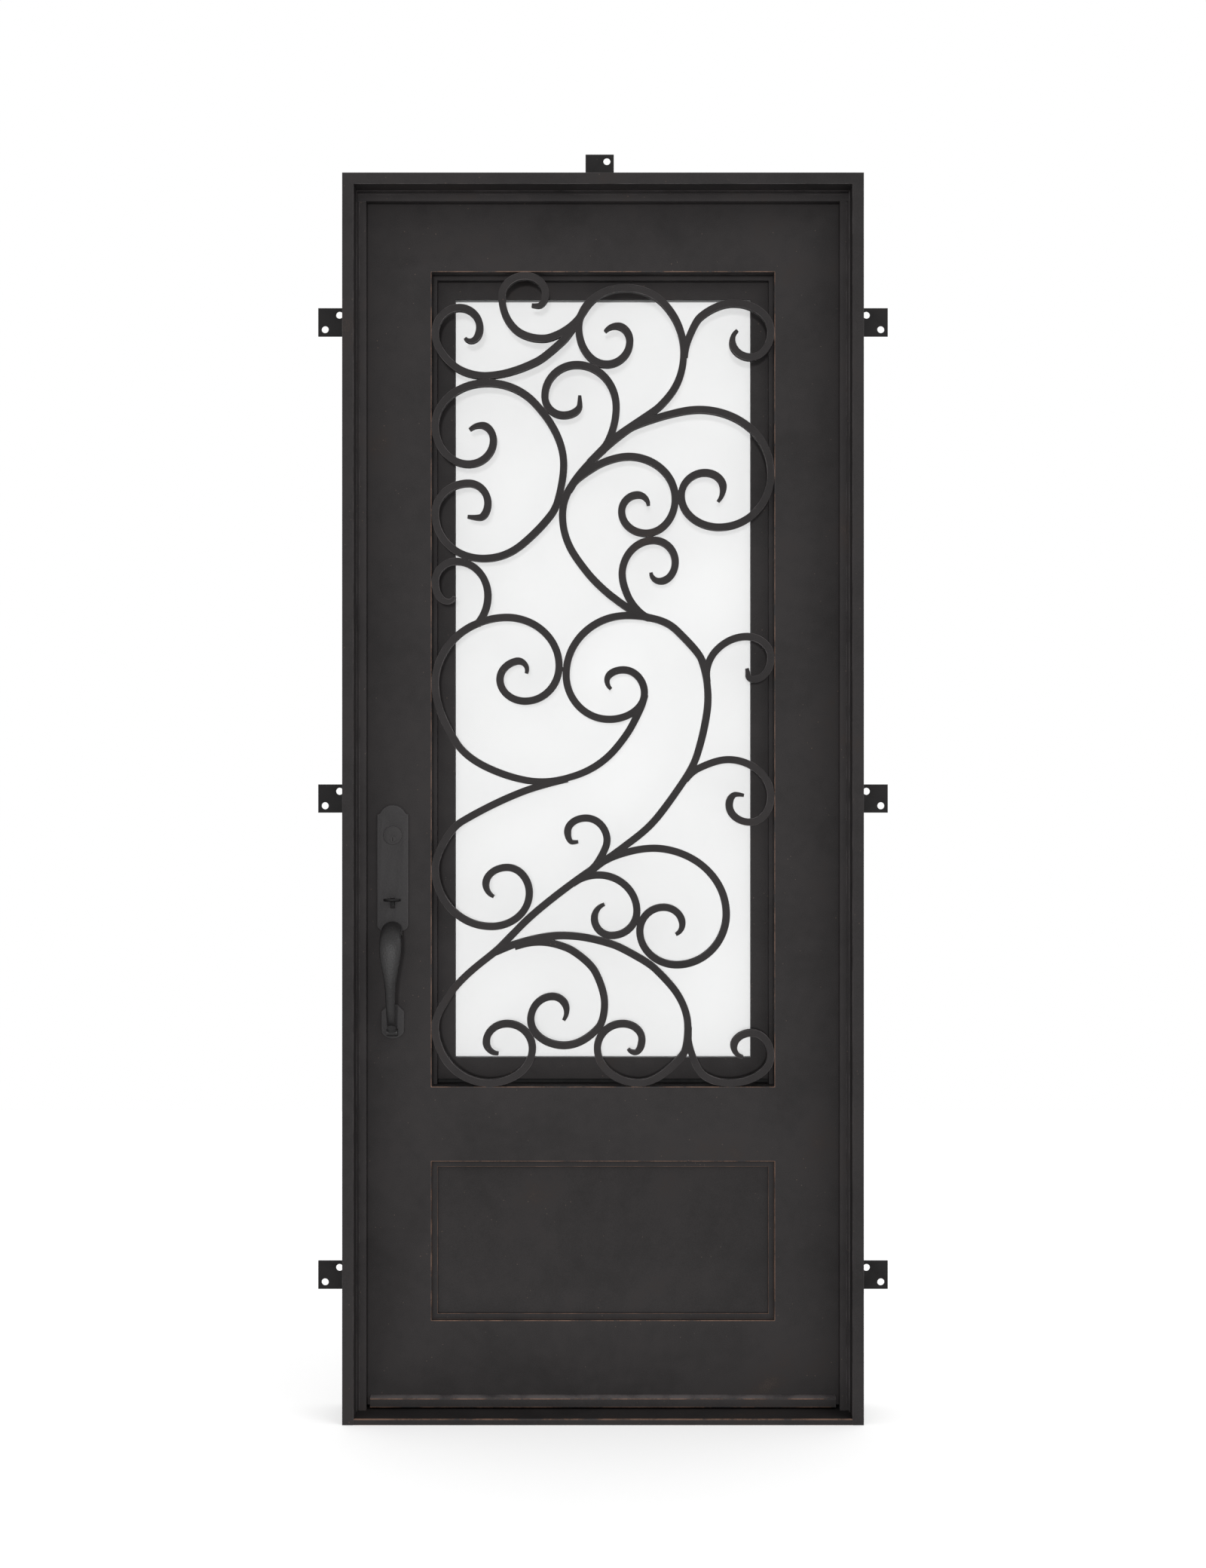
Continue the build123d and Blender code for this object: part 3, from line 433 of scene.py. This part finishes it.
def dressed(node, width, materials, keep=None, segments=2, mark=None, flat=0.5, smooth=35.0):
    """A CAD node's shape with eased edges; keep picks the edges, and mark those that show wear."""
    bm = merged_copy(node, flat)
    for face in bm.faces:
        face.material_index = 0
    edges = [e for e in sharp_edges(bm) if keep is None or keep(e)]
    if mark is None:
        ease(bm, edges, width, segments, mark=len(materials) > 1)
    else:
        worn = {e: mark(e) for e in edges}
        middles = [(e.verts[0].co + e.verts[1].co) / 2 for e in edges if worn[e]]
        lines = [(e.verts[0].co.copy(), e.verts[1].co.copy()) for e in edges if worn[e]]
        ease(bm, edges, width, segments, mark=False)
        mark_near(bm, lines, width * 1.2)
    return add_piece(node + "_finished", bm, body_of(node), materials, (node,), smooth)


def mark_near(bm, lines, reach):
    """Gives the second material to the narrow faces that lie along the given lines."""
    for face in bm.faces:
        centre = face.calc_center_median()
        for start, end in lines:
            along = end - start
            share = (centre - start).dot(along) / along.length_squared
            if -0.02 < share < 1.02 and (start + along * share - centre).length < reach:
                if all((v.co - (start + along * ((v.co - start).dot(along) / along.length_squared))).length
                       < reach * 1.6 for v in face.verts):
                    face.material_index = 1
                    break


def box_between(bm, low, high):
    """A box from its lowest to its highest corner, added to a bmesh."""
    low, high = Vector(low), Vector(high)
    place = Matrix.Translation((low + high) / 2) @ Matrix.Diagonal((*(high - low), 1.0))
    return bmesh.ops.create_cube(bm, size=1.0, matrix=place)["verts"]


def screw_head(bm, centre, facing, radius):
    """A raised screw head with a round drive recess, facing along a direction."""
    turn = Vector((0, 0, 1)).rotation_difference(Vector(facing)).to_matrix().to_4x4()
    place = Matrix.Translation(Vector(centre)) @ turn
    made = bmesh.ops.create_cone(
        bm, cap_ends=True, segments=20, radius1=radius, radius2=radius * 0.82, depth=0.0012, matrix=place
    )["verts"]
    faces = {f for v in made for f in v.link_faces}
    facing = Vector(facing)
    top = max(faces, key=lambda f: f.calc_center_median().dot(facing) + (0.001 if len(f.verts) > 4 else 0))
    inner = bmesh.ops.inset_individual(bm, faces=[top], thickness=radius * 0.42)
    down = bmesh.ops.extrude_face_region(bm, geom=[top])
    moved = [v for v in down["geom"] if isinstance(v, bmesh.types.BMVert)]
    bmesh.ops.translate(bm, verts=moved, vec=-facing * 0.0007)
    if top.is_valid:
        bmesh.ops.delete(bm, geom=[top], context="FACES_ONLY")


# Edge choices
def runs_along(edge, axis):
    return abs((edge.verts[1].co - edge.verts[0].co).normalized()[axis]) > 0.99


def at(edge, axis, value, within=0.0006):
    return all(abs(v.co[axis] - value) < within for v in edge.verts)


LEAF_LOW, LEAF_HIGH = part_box("leaf_stile_lock")
HINGE_LOW, HINGE_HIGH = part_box("leaf_stile_hinge")
PANEL_LOW, PANEL_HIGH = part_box("lower_panel")
TOP_LOW, TOP_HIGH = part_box("leaf_rail_top")
MIDDLE_LOW, MIDDLE_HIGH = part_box("leaf_rail_middle")
BOTTOM_LOW, BOTTOM_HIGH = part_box("leaf_rail_bottom")
FRONT_Y, BACK_Y = LEAF_LOW.y, LEAF_HIGH.y


class DOOR_OT_leaf(bpy.types.Operator):
    """Builds the welded leaf as one coated body with an opening and a panel recess"""

    bl_idname = "door.leaf"
    bl_label = "Leaf"

    def execute(self, context):
        sizes = context.scene.door_sizes
        xs = [LEAF_LOW.x, TOP_LOW.x, TOP_HIGH.x, HINGE_HIGH.x]
        zs = [LEAF_LOW.z, BOTTOM_HIGH.z, PANEL_HIGH.z, MIDDLE_HIGH.z, TOP_LOW.z, TOP_HIGH.z]
        bm = bmesh.new()
        made = bmesh.ops.create_grid(bm, x_segments=3, y_segments=5, size=1.0)["verts"]
        columns = sorted({round(v.co.x, 5) for v in made})
        rows = sorted({round(v.co.y, 5) for v in made})
        for v in made:
            column = min(range(4), key=lambda i: abs(columns[i] - v.co.x))
            row = min(range(6), key=lambda i: abs(rows[i] - v.co.y))
            v.co = (xs[column], FRONT_Y, zs[row])
        gaps = [
            f for f in bm.faces
            if TOP_LOW.x < f.calc_center_median().x < TOP_HIGH.x
            and (
                PANEL_LOW.z < f.calc_center_median().z < PANEL_HIGH.z
                or MIDDLE_HIGH.z < f.calc_center_median().z < TOP_LOW.z
            )
        ]
        bmesh.ops.delete(bm, geom=gaps, context="FACES")
        out = bmesh.ops.extrude_face_region(bm, geom=list(bm.faces), use_keep_orig=True)
        back = [v for v in out["geom"] if isinstance(v, bmesh.types.BMVert)]
        bmesh.ops.translate(bm, verts=back, vec=(0, BACK_Y - FRONT_Y, 0))
        bevel_x = LEAF_LOW.x + 0.004
        for v in bm.verts:
            if abs(v.co.x - xs[0]) < 1e-6 and abs(v.co.y - FRONT_Y) < 1e-6:
                v.co.x = bevel_x
        bmesh.ops.recalc_face_normals(bm, faces=bm.faces)
        bmesh.ops.dissolve_limit(bm, angle_limit=math.radians(0.5), verts=bm.verts, edges=bm.edges)
        edges = sharp_edges(bm)
        lines = [
            (e.verts[0].co.copy(), e.verts[1].co.copy()) for e in edges
            if TOP_LOW.x - 0.001 < (e.verts[0].co.x + e.verts[1].co.x) / 2 < TOP_HIGH.x + 0.001
            and BOTTOM_HIGH.z - 0.001 < (e.verts[0].co.z + e.verts[1].co.z) / 2 < TOP_LOW.z + 0.001
            and not runs_along(e, 1)
        ]
        ease(bm, edges, sizes.arris, 2, mark=False)
        mark_near(bm, lines, sizes.arris * 1.2)
        leaf = add_piece(
            "leaf_welded", bm, "leaf", ["coat", "arris"],
            ("leaf_stile_lock", "leaf_stile_hinge", "leaf_rail_top", "leaf_rail_middle", "leaf_rail_bottom"),
        )
        return {"FINISHED"}


class DOOR_OT_panel(bpy.types.Operator):
    """Finishes the stepped lower panel and the drip strip"""

    bl_idname = "door.panel"
    bl_label = "Lower panel and drip strip"

    def execute(self, context):
        sizes = context.scene.door_sizes
        dressed(
            "lower_panel", sizes.arris * 0.7, ["panel_coat_painted_shade", "faint_arris"],
            keep=lambda e: not runs_along(e, 1),
            mark=lambda e: min(abs(v.co.y - FRONT_Y - 0.008) for v in e.verts) < 0.0005
            or min(abs(v.co.y - BACK_Y + 0.008) for v in e.verts) < 0.0005,
        )
        drip = dressed("drip_strip", sizes.arris, ["coat", "arris"], mark=lambda e: runs_along(e, 0))
        # The drip's upward faces take the lighter coat: a painted highlight for light from above.
        drip.data.materials.append(finish_named("pale_coat_painted_highlight"))
        for face in drip.data.polygons:
            if face.normal.z > 0.25 and face.material_index == 0:
                face.material_index = 2
        return {"FINISHED"}


class DOOR_OT_frame(bpy.types.Operator):
    """Finishes the jambs, head, sill and stops"""

    bl_idname = "door.frame"
    bl_label = "Frame"

    def execute(self, context):
        sizes = context.scene.door_sizes
        for node in ("jamb_left", "jamb_right", "head_jamb"):
            self.tube(node)
        dressed(
            "sill", sizes.arris * 0.6, ["frame_coat_painted_shade", "arris"],
            mark=lambda e: runs_along(e, 0) and e.verts[0].co.y < 0,
        )
        self.reveal_seam_painted_highlight()
        # The stops take a lighter copy of the coat, painted light, with a painted highlight on their arrises.
        for node in ("stop_left", "stop_right", "stop_head"):
            dressed(node, sizes.arris * 0.5, ["stop_coat_painted_light", "bar_arris"])
        return {"FINISHED"}

    def reveal_seam_painted_highlight(self):
        """The fine seam round the reveal, where the tube's two halves meet: a proud strip in a lighter copy of
        the coat, a painted highlight along it.
        """
        left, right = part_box("jamb_left")[1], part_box("jamb_right")[0]
        head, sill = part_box("head_jamb")[0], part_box("sill")[1]
        y0, y1, proud = left.y - 0.1035, left.y - 0.1015, 0.0006
        bm = bmesh.new()
        box_between(bm, (left.x, y0, sill.z), (left.x + proud, y1, head.z))
        box_between(bm, (right.x - proud, y0, sill.z), (right.x, y1, head.z))
        box_between(bm, (left.x + proud, y0, head.z - proud), (right.x - proud, y1, head.z))
        add_piece("reveal_seam_painted_highlight", bm, "frame", ["pale_coat_painted_highlight"])

    def tube(self, node):
        """A frame tube, whose rounded front corners carry a painted highlight: a lighter copy of the coat."""
        bm = merged_copy(node)
        low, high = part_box(node)
        for face in bm.faces:
            normal = face.normal
            across = abs(normal.z) if node == "head_jamb" else abs(normal.x)
            slanted = 0.55 < across < 0.85 and normal.y < -0.5
            face.material_index = 1 if slanted and abs(face.calc_center_median().y - low.y) < 0.002 else 0
        add_piece(node + "_finished", bm, "frame", ["frame_coat_painted_shade", "bar_arris"], (node,), 30.0)


class DOOR_OT_tabs(bpy.types.Operator):
    """Finishes the mounting tabs"""

    bl_idname = "door.tabs"
    bl_label = "Mounting tabs"

    def execute(self, context):
        for node in ("mounting_tabs_left", "mounting_tabs_right", "mounting_tab_top"):
            dressed(node, 0.0004, ["tab", "arris"], mark=lambda e: False, smooth=30.0)
        return {"FINISHED"}


def bend_at(before, here, after):
    """Signed curvature of an outline at one of its points, or none at a corner."""
    first, second = here - before, after - here
    turn = math.atan2(first.x * second.z - first.z * second.x, first.x * second.x + first.z * second.z)
    if abs(turn) > math.radians(28.0):
        return 0.0
    return 2.0 * turn / (first.length + second.length)


def bulge_point(rim, edge):
    """Where the middle of an outline's straight run lies on the curve that it stands for."""
    start, end = edge.verts
    neighbours = []
    for v, other in ((start, end), (end, start)):
        ways = [e.other_vert(v) for e in v.link_edges if e in rim and e is not edge]
        neighbours.append(ways[0] if len(ways) == 1 else None)
    run = end.co - start.co
    bends = [
        bend_at(neighbours[0].co, start.co, end.co) if neighbours[0] else 0.0,
        bend_at(start.co, end.co, neighbours[1].co) if neighbours[1] else 0.0,
    ]
    rise = run.length * sum(bends) / 16.0
    return (start.co + end.co) / 2 + Vector((run.z, 0.0, -run.x)) * rise


def round_outline(bm, front_y, back_y):
    """Halves every straight run of the bars' outlines, and puts the new points on their curve."""
    walls = []
    rims = {front_y: set(), back_y: set()}
    for face in bm.faces:
        if abs(face.normal.y) > 0.5:
            continue
        pair = []
        for y, rim in rims.items():
            level = [e for e in face.edges if all(abs(v.co.y - y) < 1e-5 for v in e.verts)]
            rim.update(level)
            pair.append(level)
        if len(pair[0]) == 1 and len(pair[1]) == 1:
            walls.append((face, pair[0][0], pair[1][0]))
    targets = {e: bulge_point(rim, e) for rim in rims.values() for e in rim}
    middles = {}
    for edge in targets:
        middles[edge] = bmesh.utils.edge_split(edge, edge.verts[0], 0.5)[1]
    for face, front, back in walls:
        bmesh.utils.face_split(face, middles[front], middles[back])
    for edge, place in targets.items():
        middles[edge].co = place
    bm.normal_update()


def relax_outline(bm, y, rounds):
    """Evens out the bends of the bars' outline at y, and keeps its corners and its size."""
    rim = {
        e for e in bm.edges
        if all(abs(v.co.y - y) < 1e-5 for v in e.verts) and any(abs(f.normal.y) < 0.5 for f in e.link_faces)
    }
    chains = []
    for v in {v for e in rim for v in e.verts}:
        ends = [e.other_vert(v) for e in v.link_edges if e in rim]
        if len(ends) == 2 and bend_at(ends[0].co, v.co, ends[1].co):
            chains.append((v, ends[0], ends[1]))
    for step in range(2 * rounds):
        share = 0.5 if step % 2 == 0 else -0.52
        moves = []
        for v, before, after in chains:
            chord = (after.co - before.co).normalized()
            pull = (before.co + after.co) / 2 - v.co
            moves.append((v, (pull - chord * pull.dot(chord)) * share))
        for v, move in moves:
            v.co += move


def chamfer_face(bm, y, inwards, width):
    """Cuts a narrow chamfer round the bars' flat face at y; inwards is the way into the metal."""
    face_set = [f for f in bm.faces if all(abs(v.co.y - y) < 1e-5 for v in f.verts)]
    ring = bmesh.ops.inset_region(
        bm, faces=face_set, thickness=width, use_boundary=True, use_even_offset=True
    )["faces"]
    outer = {v for f in ring for v in f.verts if any(abs(g.normal.y) < 0.5 for g in v.link_faces)}
    for v in outer:
        for e in v.link_edges:
            inner = e.other_vert(v)
            if inner not in outer and abs(inner.co.y - y) < 1e-5:
                step = inner.co - v.co
                if step.length > width * 2.0:
                    inner.co = v.co + step.normalized() * width * 2.0
    for v in outer:
        v.co.y += inwards * width
    for face in ring:
        face.material_index = 1


class DOOR_OT_grille(bpy.types.Operator):
    """Finishes the scroll grille with fine arrises along every bar"""

    bl_idname = "door.grille"
    bl_label = "Scroll grille"

    def execute(self, context):
        width = context.scene.door_sizes.bar_arris
        low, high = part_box("scroll_grille")
        bm = merged_copy("scroll_grille", 0)
        for face in bm.faces:
            face.material_index = 0
        between_walls = [e for e in bm.edges if all(abs(f.normal.y) < 0.5 for f in e.link_faces)]
        bmesh.ops.dissolve_limit(bm, angle_limit=math.radians(0.5), verts=[], edges=between_walls)
        for _ in range(2):
            round_outline(bm, low.y, high.y)
            for y in (low.y, high.y):
                relax_outline(bm, y, 12)
        chamfer_face(bm, low.y, 1, width)
        chamfer_face(bm, high.y, -1, width)
        # The bars take a slightly darker copy of the coat, painted shade, and their chamfers a lighter copy, a
        # painted highlight.
        add_piece(
            "scroll_grille_finished", bm, "leaf", ["bar_coat_painted_shade", "bar_arris"], ("scroll_grille",), 38.0
        )
        return {"FINISHED"}


class DOOR_OT_sash(bpy.types.Operator):
    """Finishes the glass sash, the strip that it closes on and its bead"""

    bl_idname = "door.sash"
    bl_label = "Glass sash"

    def execute(self, context):
        sizes = context.scene.door_sizes
        # These take a lighter copy of the coat: painted light.
        for node in ("sash_frame", "sash_stop_strip", "glazing_bead"):
            dressed(node, sizes.arris * 0.6, ["sash_coat_painted_light", "sash_coat_painted_light"])
        return {"FINISHED"}


class DOOR_OT_glass(bpy.types.Operator):
    """Builds the sealed unit: a clear front pane, a frosted rear pane and a spacer between them"""

    bl_idname = "door.glass"
    bl_label = "Sealed glass"

    def execute(self, context):
        thickness = context.scene.door_sizes.pane_thickness
        low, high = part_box("insulated_glass")
        for name, y0, y1, finish in (
            ("glass_front_pane", low.y, low.y + thickness, "clear"),
            ("glass_rear_pane", high.y - thickness, high.y, "frosted"),
        ):
            bm = bmesh.new()
            box_between(bm, (low.x, y0, low.z), (high.x, y1, high.z))
            ease(bm, list(bm.edges), 0.0004, 2, mark=False)
            for face in bm.faces:
                face.material_index = 1 if face.calc_center_median().y < y0 + 0.0001 else 0
            stands_for = ("insulated_glass",) if finish == "frosted" else ()
            add_piece(name, bm, "leaf", ["clear", finish], stands_for)
        bm = bmesh.new()
        verts = box_between(
            bm, (low.x + 0.001, low.y + thickness, low.z + 0.001),
            (high.x - 0.001, high.y - thickness, high.z - 0.001),
        )
        sides = [f for f in bm.faces if abs(f.normal.y) > 0.9]
        bmesh.ops.inset_individual(bm, faces=sides, thickness=0.008)
        bridge = [e for f in sides for e in f.edges]
        bmesh.ops.delete(bm, geom=sides, context="FACES_ONLY")
        bmesh.ops.bridge_loops(bm, edges=bridge)
        bmesh.ops.recalc_face_normals(bm, faces=bm.faces)
        add_piece("glass_spacer_bar", bm, "leaf", ["spacer"])
        return {"FINISHED"}


class DOOR_OT_seals(bpy.types.Operator):
    """Gives the weatherstrip and the bottom sweep their rubber"""

    bl_idname = "door.seals"
    bl_label = "Seals"

    def execute(self, context):
        for node in ("weatherstrip", "bottom_sweep"):
            set_material(node, "rubber")
        self.sash_gap_shade()
        return {"FINISHED"}

    def sash_gap_shade(self):
        """A black rubber block in the gap under the sash: painted shade, standing for the shadow in that gap."""
        low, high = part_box("sash_frame")
        bm = bmesh.new()
        box_between(
            bm, (TOP_LOW.x, low.y + 0.008, MIDDLE_HIGH.z), (TOP_HIGH.x, low.y + 0.020, low.z)
        )
        front = [f for f in bm.faces if f.normal.y < -0.9]
        bmesh.ops.inset_region(bm, faces=front, thickness=0.002, depth=0.002)
        add_piece("sash_gap_painted_shade", bm, "leaf", ["rubber"])


class DOOR_OT_hinges(bpy.types.Operator):
    """Finishes the hinges of the leaf and the fittings of the sash"""

    bl_idname = "door.hinges"
    bl_label = "Hinges and sash fittings"

    def execute(self, context):
        for place in ("lower", "middle", "upper"):
            for half in ("frame_half", "leaf_half"):
                dressed(f"hinge_{place}_{half}", 0.0005, ["coat", "coat"], smooth=32.0)
        for node in ("sash_hinges", "sash_latches"):
            dressed(node, 0.0005, ["coat", "coat"], smooth=32.0)
        return {"FINISHED"}


class DOOR_OT_handleset(bpy.types.Operator):
    """Finishes the cast handleset outside and the furniture inside"""

    bl_idname = "door.handleset"
    bl_label = "Handleset"

    def execute(self, context):
        width = context.scene.door_sizes.furniture_arris
        # The bevels of the handleset take a lighter copy of the bronze: painted highlight.
        for node in (
            "handle_backplate", "handle_rosette", "lock_cylinder", "key_plug", "inner_escutcheon",
            "inner_lever", "inner_thumb_turn",
        ):
            dressed(node, width, ["bronze", "bronze_painted_highlight"], smooth=40.0)
        # The thumb piece and the grip take darker copies of the bronze: painted shade.
        dressed("thumb_piece", width, ["thumb_bronze_painted_shade", "grip_bronze_painted_shade"], smooth=40.0)
        bm = merged_copy("handle_grip", 0)
        add_piece("handle_grip_finished", bm, "leaf", ["grip_bronze_painted_shade"], ("handle_grip",), 50.0)
        return {"FINISHED"}


class DOOR_OT_lock(bpy.types.Operator):
    """Finishes the lock's plates, with their screws"""

    bl_idname = "door.lock"
    bl_label = "Lock plates"

    def execute(self, context):
        radius = context.scene.door_sizes.screw_radius
        for node in ("lock_faceplate", "strike_plate"):
            dressed(node, 0.0004, ["lock", "lock"])
        for node, body, facing in (("lock_faceplate", "leaf", (-1, 0, 0)), ("strike_plate", "frame", (1, 0, 0))):
            low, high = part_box(node)
            bm = bmesh.new()
            x = (low.x + high.x) / 2 - 0.0006 if body == "leaf" else high.x
            for z in (low.z + 0.012, high.z - 0.012):
                y = (low.y + high.y) / 2
                x = low.x + 0.0019 if body == "leaf" else high.x
                screw_head(bm, (x, y, z), facing, radius)
            add_piece(node + "_screws", bm, body, ["lock"])
        low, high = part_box("inner_escutcheon")
        bm = bmesh.new()
        for z in (low.z + 0.018, high.z - 0.018):
            screw_head(bm, ((low.x + high.x) / 2, high.y, z), (0, 1, 0), radius)
        # The screw heads take the lighter copy of the bronze: painted highlight.
        add_piece("inner_escutcheon_screws", bm, "leaf", ["bronze_painted_highlight"])
        return {"FINISHED"}


class DOOR_OT_stage(bpy.types.Operator):
    """Sets up the floor, the light and the camera"""

    bl_idname = "door.stage"
    bl_label = "Stage"

    def execute(self, context):
        scene = context.scene
        scene.view_settings.view_transform = "Standard"
        self.camera(scene)
        self.world(scene)
        self.lamps(scene)
        self.floor(scene)
        return {"FINISHED"}

    def camera(self, scene):
        data = bpy.data.cameras.new("photograph_view")
        data.lens = 50.0
        data.sensor_width = 36.0
        data.clip_end = 60.0
        camera = bpy.data.objects.new("photograph_view", data)
        camera.location = (0.0, -4.314, 1.248)
        camera.rotation_euler = (math.radians(90.0), 0.0, 0.0)
        scene.collection.objects.link(camera)
        scene.camera = camera

    def world(self, scene):
        """Even white light, and a pure white behind everything."""
        world = bpy.data.worlds.new("studio")
        world.use_nodes = True
        tree = world.node_tree
        background = tree.nodes["Background"]
        background.inputs["Color"].default_value = (1, 1, 1, 1)
        path = tree.nodes.new("ShaderNodeLightPath")
        seen = tree.nodes.new("ShaderNodeMath")
        seen.operation = "MAXIMUM"
        tree.links.new(path.outputs["Is Camera Ray"], seen.inputs[0])
        tree.links.new(path.outputs["Is Transmission Ray"], seen.inputs[1])
        level = tree.nodes.new("ShaderNodeMapRange")
        level.inputs["To Min"].default_value = 0.69
        level.inputs["To Max"].default_value = 1.0
        tree.links.new(seen.outputs["Value"], level.inputs["Value"])
        tree.links.new(level.outputs["Result"], background.inputs["Strength"])
        scene.world = world

    def lamps(self, scene):
        """A soft light from straight in front, and a weaker, wider one from the right and above."""
        data = bpy.data.lights.new("front_light", "SUN")
        data.energy = 1.0
        data.angle = math.radians(5.0)
        sun = bpy.data.objects.new("front_light", data)
        sun.rotation_euler = (math.radians(88.0), 0.0, math.radians(-2.0))
        scene.collection.objects.link(sun)
        data = bpy.data.lights.new("side_light", "SUN")
        data.energy = 0.42
        data.angle = math.radians(35.0)
        sun = bpy.data.objects.new("side_light", data)
        sun.rotation_euler = (math.radians(62.0), 0.0, math.radians(52.0))
        scene.collection.objects.link(sun)

    def floor(self, scene):
        bm = bmesh.new()
        bmesh.ops.create_grid(bm, x_segments=1, y_segments=1, size=4.0)
        mesh = bpy.data.meshes.new("floor")
        bm.to_mesh(mesh)
        bm.free()
        floor = bpy.data.objects.new("floor", mesh)
        scene.collection.objects.link(floor)
        material = bpy.data.materials.new("floor_white")
        material.use_nodes = True
        tree = material.node_tree
        shader = tree.nodes["Principled BSDF"]
        shader.inputs["Base Color"].default_value = (0.93, 0.93, 0.93, 1)
        shader.inputs["Roughness"].default_value = 0.9
        shader.inputs["Specular IOR Level"].default_value = 0.1
        path = tree.nodes.new("ShaderNodeLightPath")
        level = tree.nodes.new("ShaderNodeMapRange")
        level.inputs["To Max"].default_value = 0.43
        shader.inputs["Emission Color"].default_value = (1, 1, 1, 1)
        tree.links.new(path.outputs["Is Camera Ray"], level.inputs["Value"])
        tree.links.new(level.outputs["Result"], shader.inputs["Emission Strength"])
        mesh.materials.append(material)


class DOOR_PT_panel(bpy.types.Panel):
    """Lists the steps that dress the door."""

    bl_idname = "DOOR_PT_panel"
    bl_label = "Door"
    bl_space_type = "VIEW_3D"
    bl_region_type = "UI"
    bl_category = "Door"

    def draw(self, context):
        for group in (context.scene.door_sizes, context.scene.door_colours):
            for name in group.__annotations__:
                self.layout.prop(group, name)
        for step in STEPS:
            self.layout.operator(step.bl_idname)


STEPS = (
    DOOR_OT_stage, DOOR_OT_frame, DOOR_OT_tabs, DOOR_OT_leaf, DOOR_OT_panel, DOOR_OT_sash, DOOR_OT_glass,
    DOOR_OT_grille, DOOR_OT_seals, DOOR_OT_hinges, DOOR_OT_handleset, DOOR_OT_lock,
)
CLASSES = (DoorSizes, DoorColours, *STEPS, DOOR_PT_panel)


def register():
    for cls in CLASSES:
        bpy.utils.register_class(cls)
    bpy.types.Scene.door_sizes = PointerProperty(type=DoorSizes)
    bpy.types.Scene.door_colours = PointerProperty(type=DoorColours)


def unregister():
    del bpy.types.Scene.door_colours
    del bpy.types.Scene.door_sizes
    for cls in reversed(CLASSES):
        bpy.utils.unregister_class(cls)


def main():
    register()
    bpy.ops.door.stage()
    bpy.ops.door.frame()
    bpy.ops.door.tabs()
    bpy.ops.door.leaf()
    bpy.ops.door.panel()
    bpy.ops.door.sash()
    bpy.ops.door.glass()
    bpy.ops.door.grille()
    bpy.ops.door.seals()
    bpy.ops.door.hinges()
    bpy.ops.door.handleset()
    bpy.ops.door.lock()


if __name__ == "__main__":
    main()
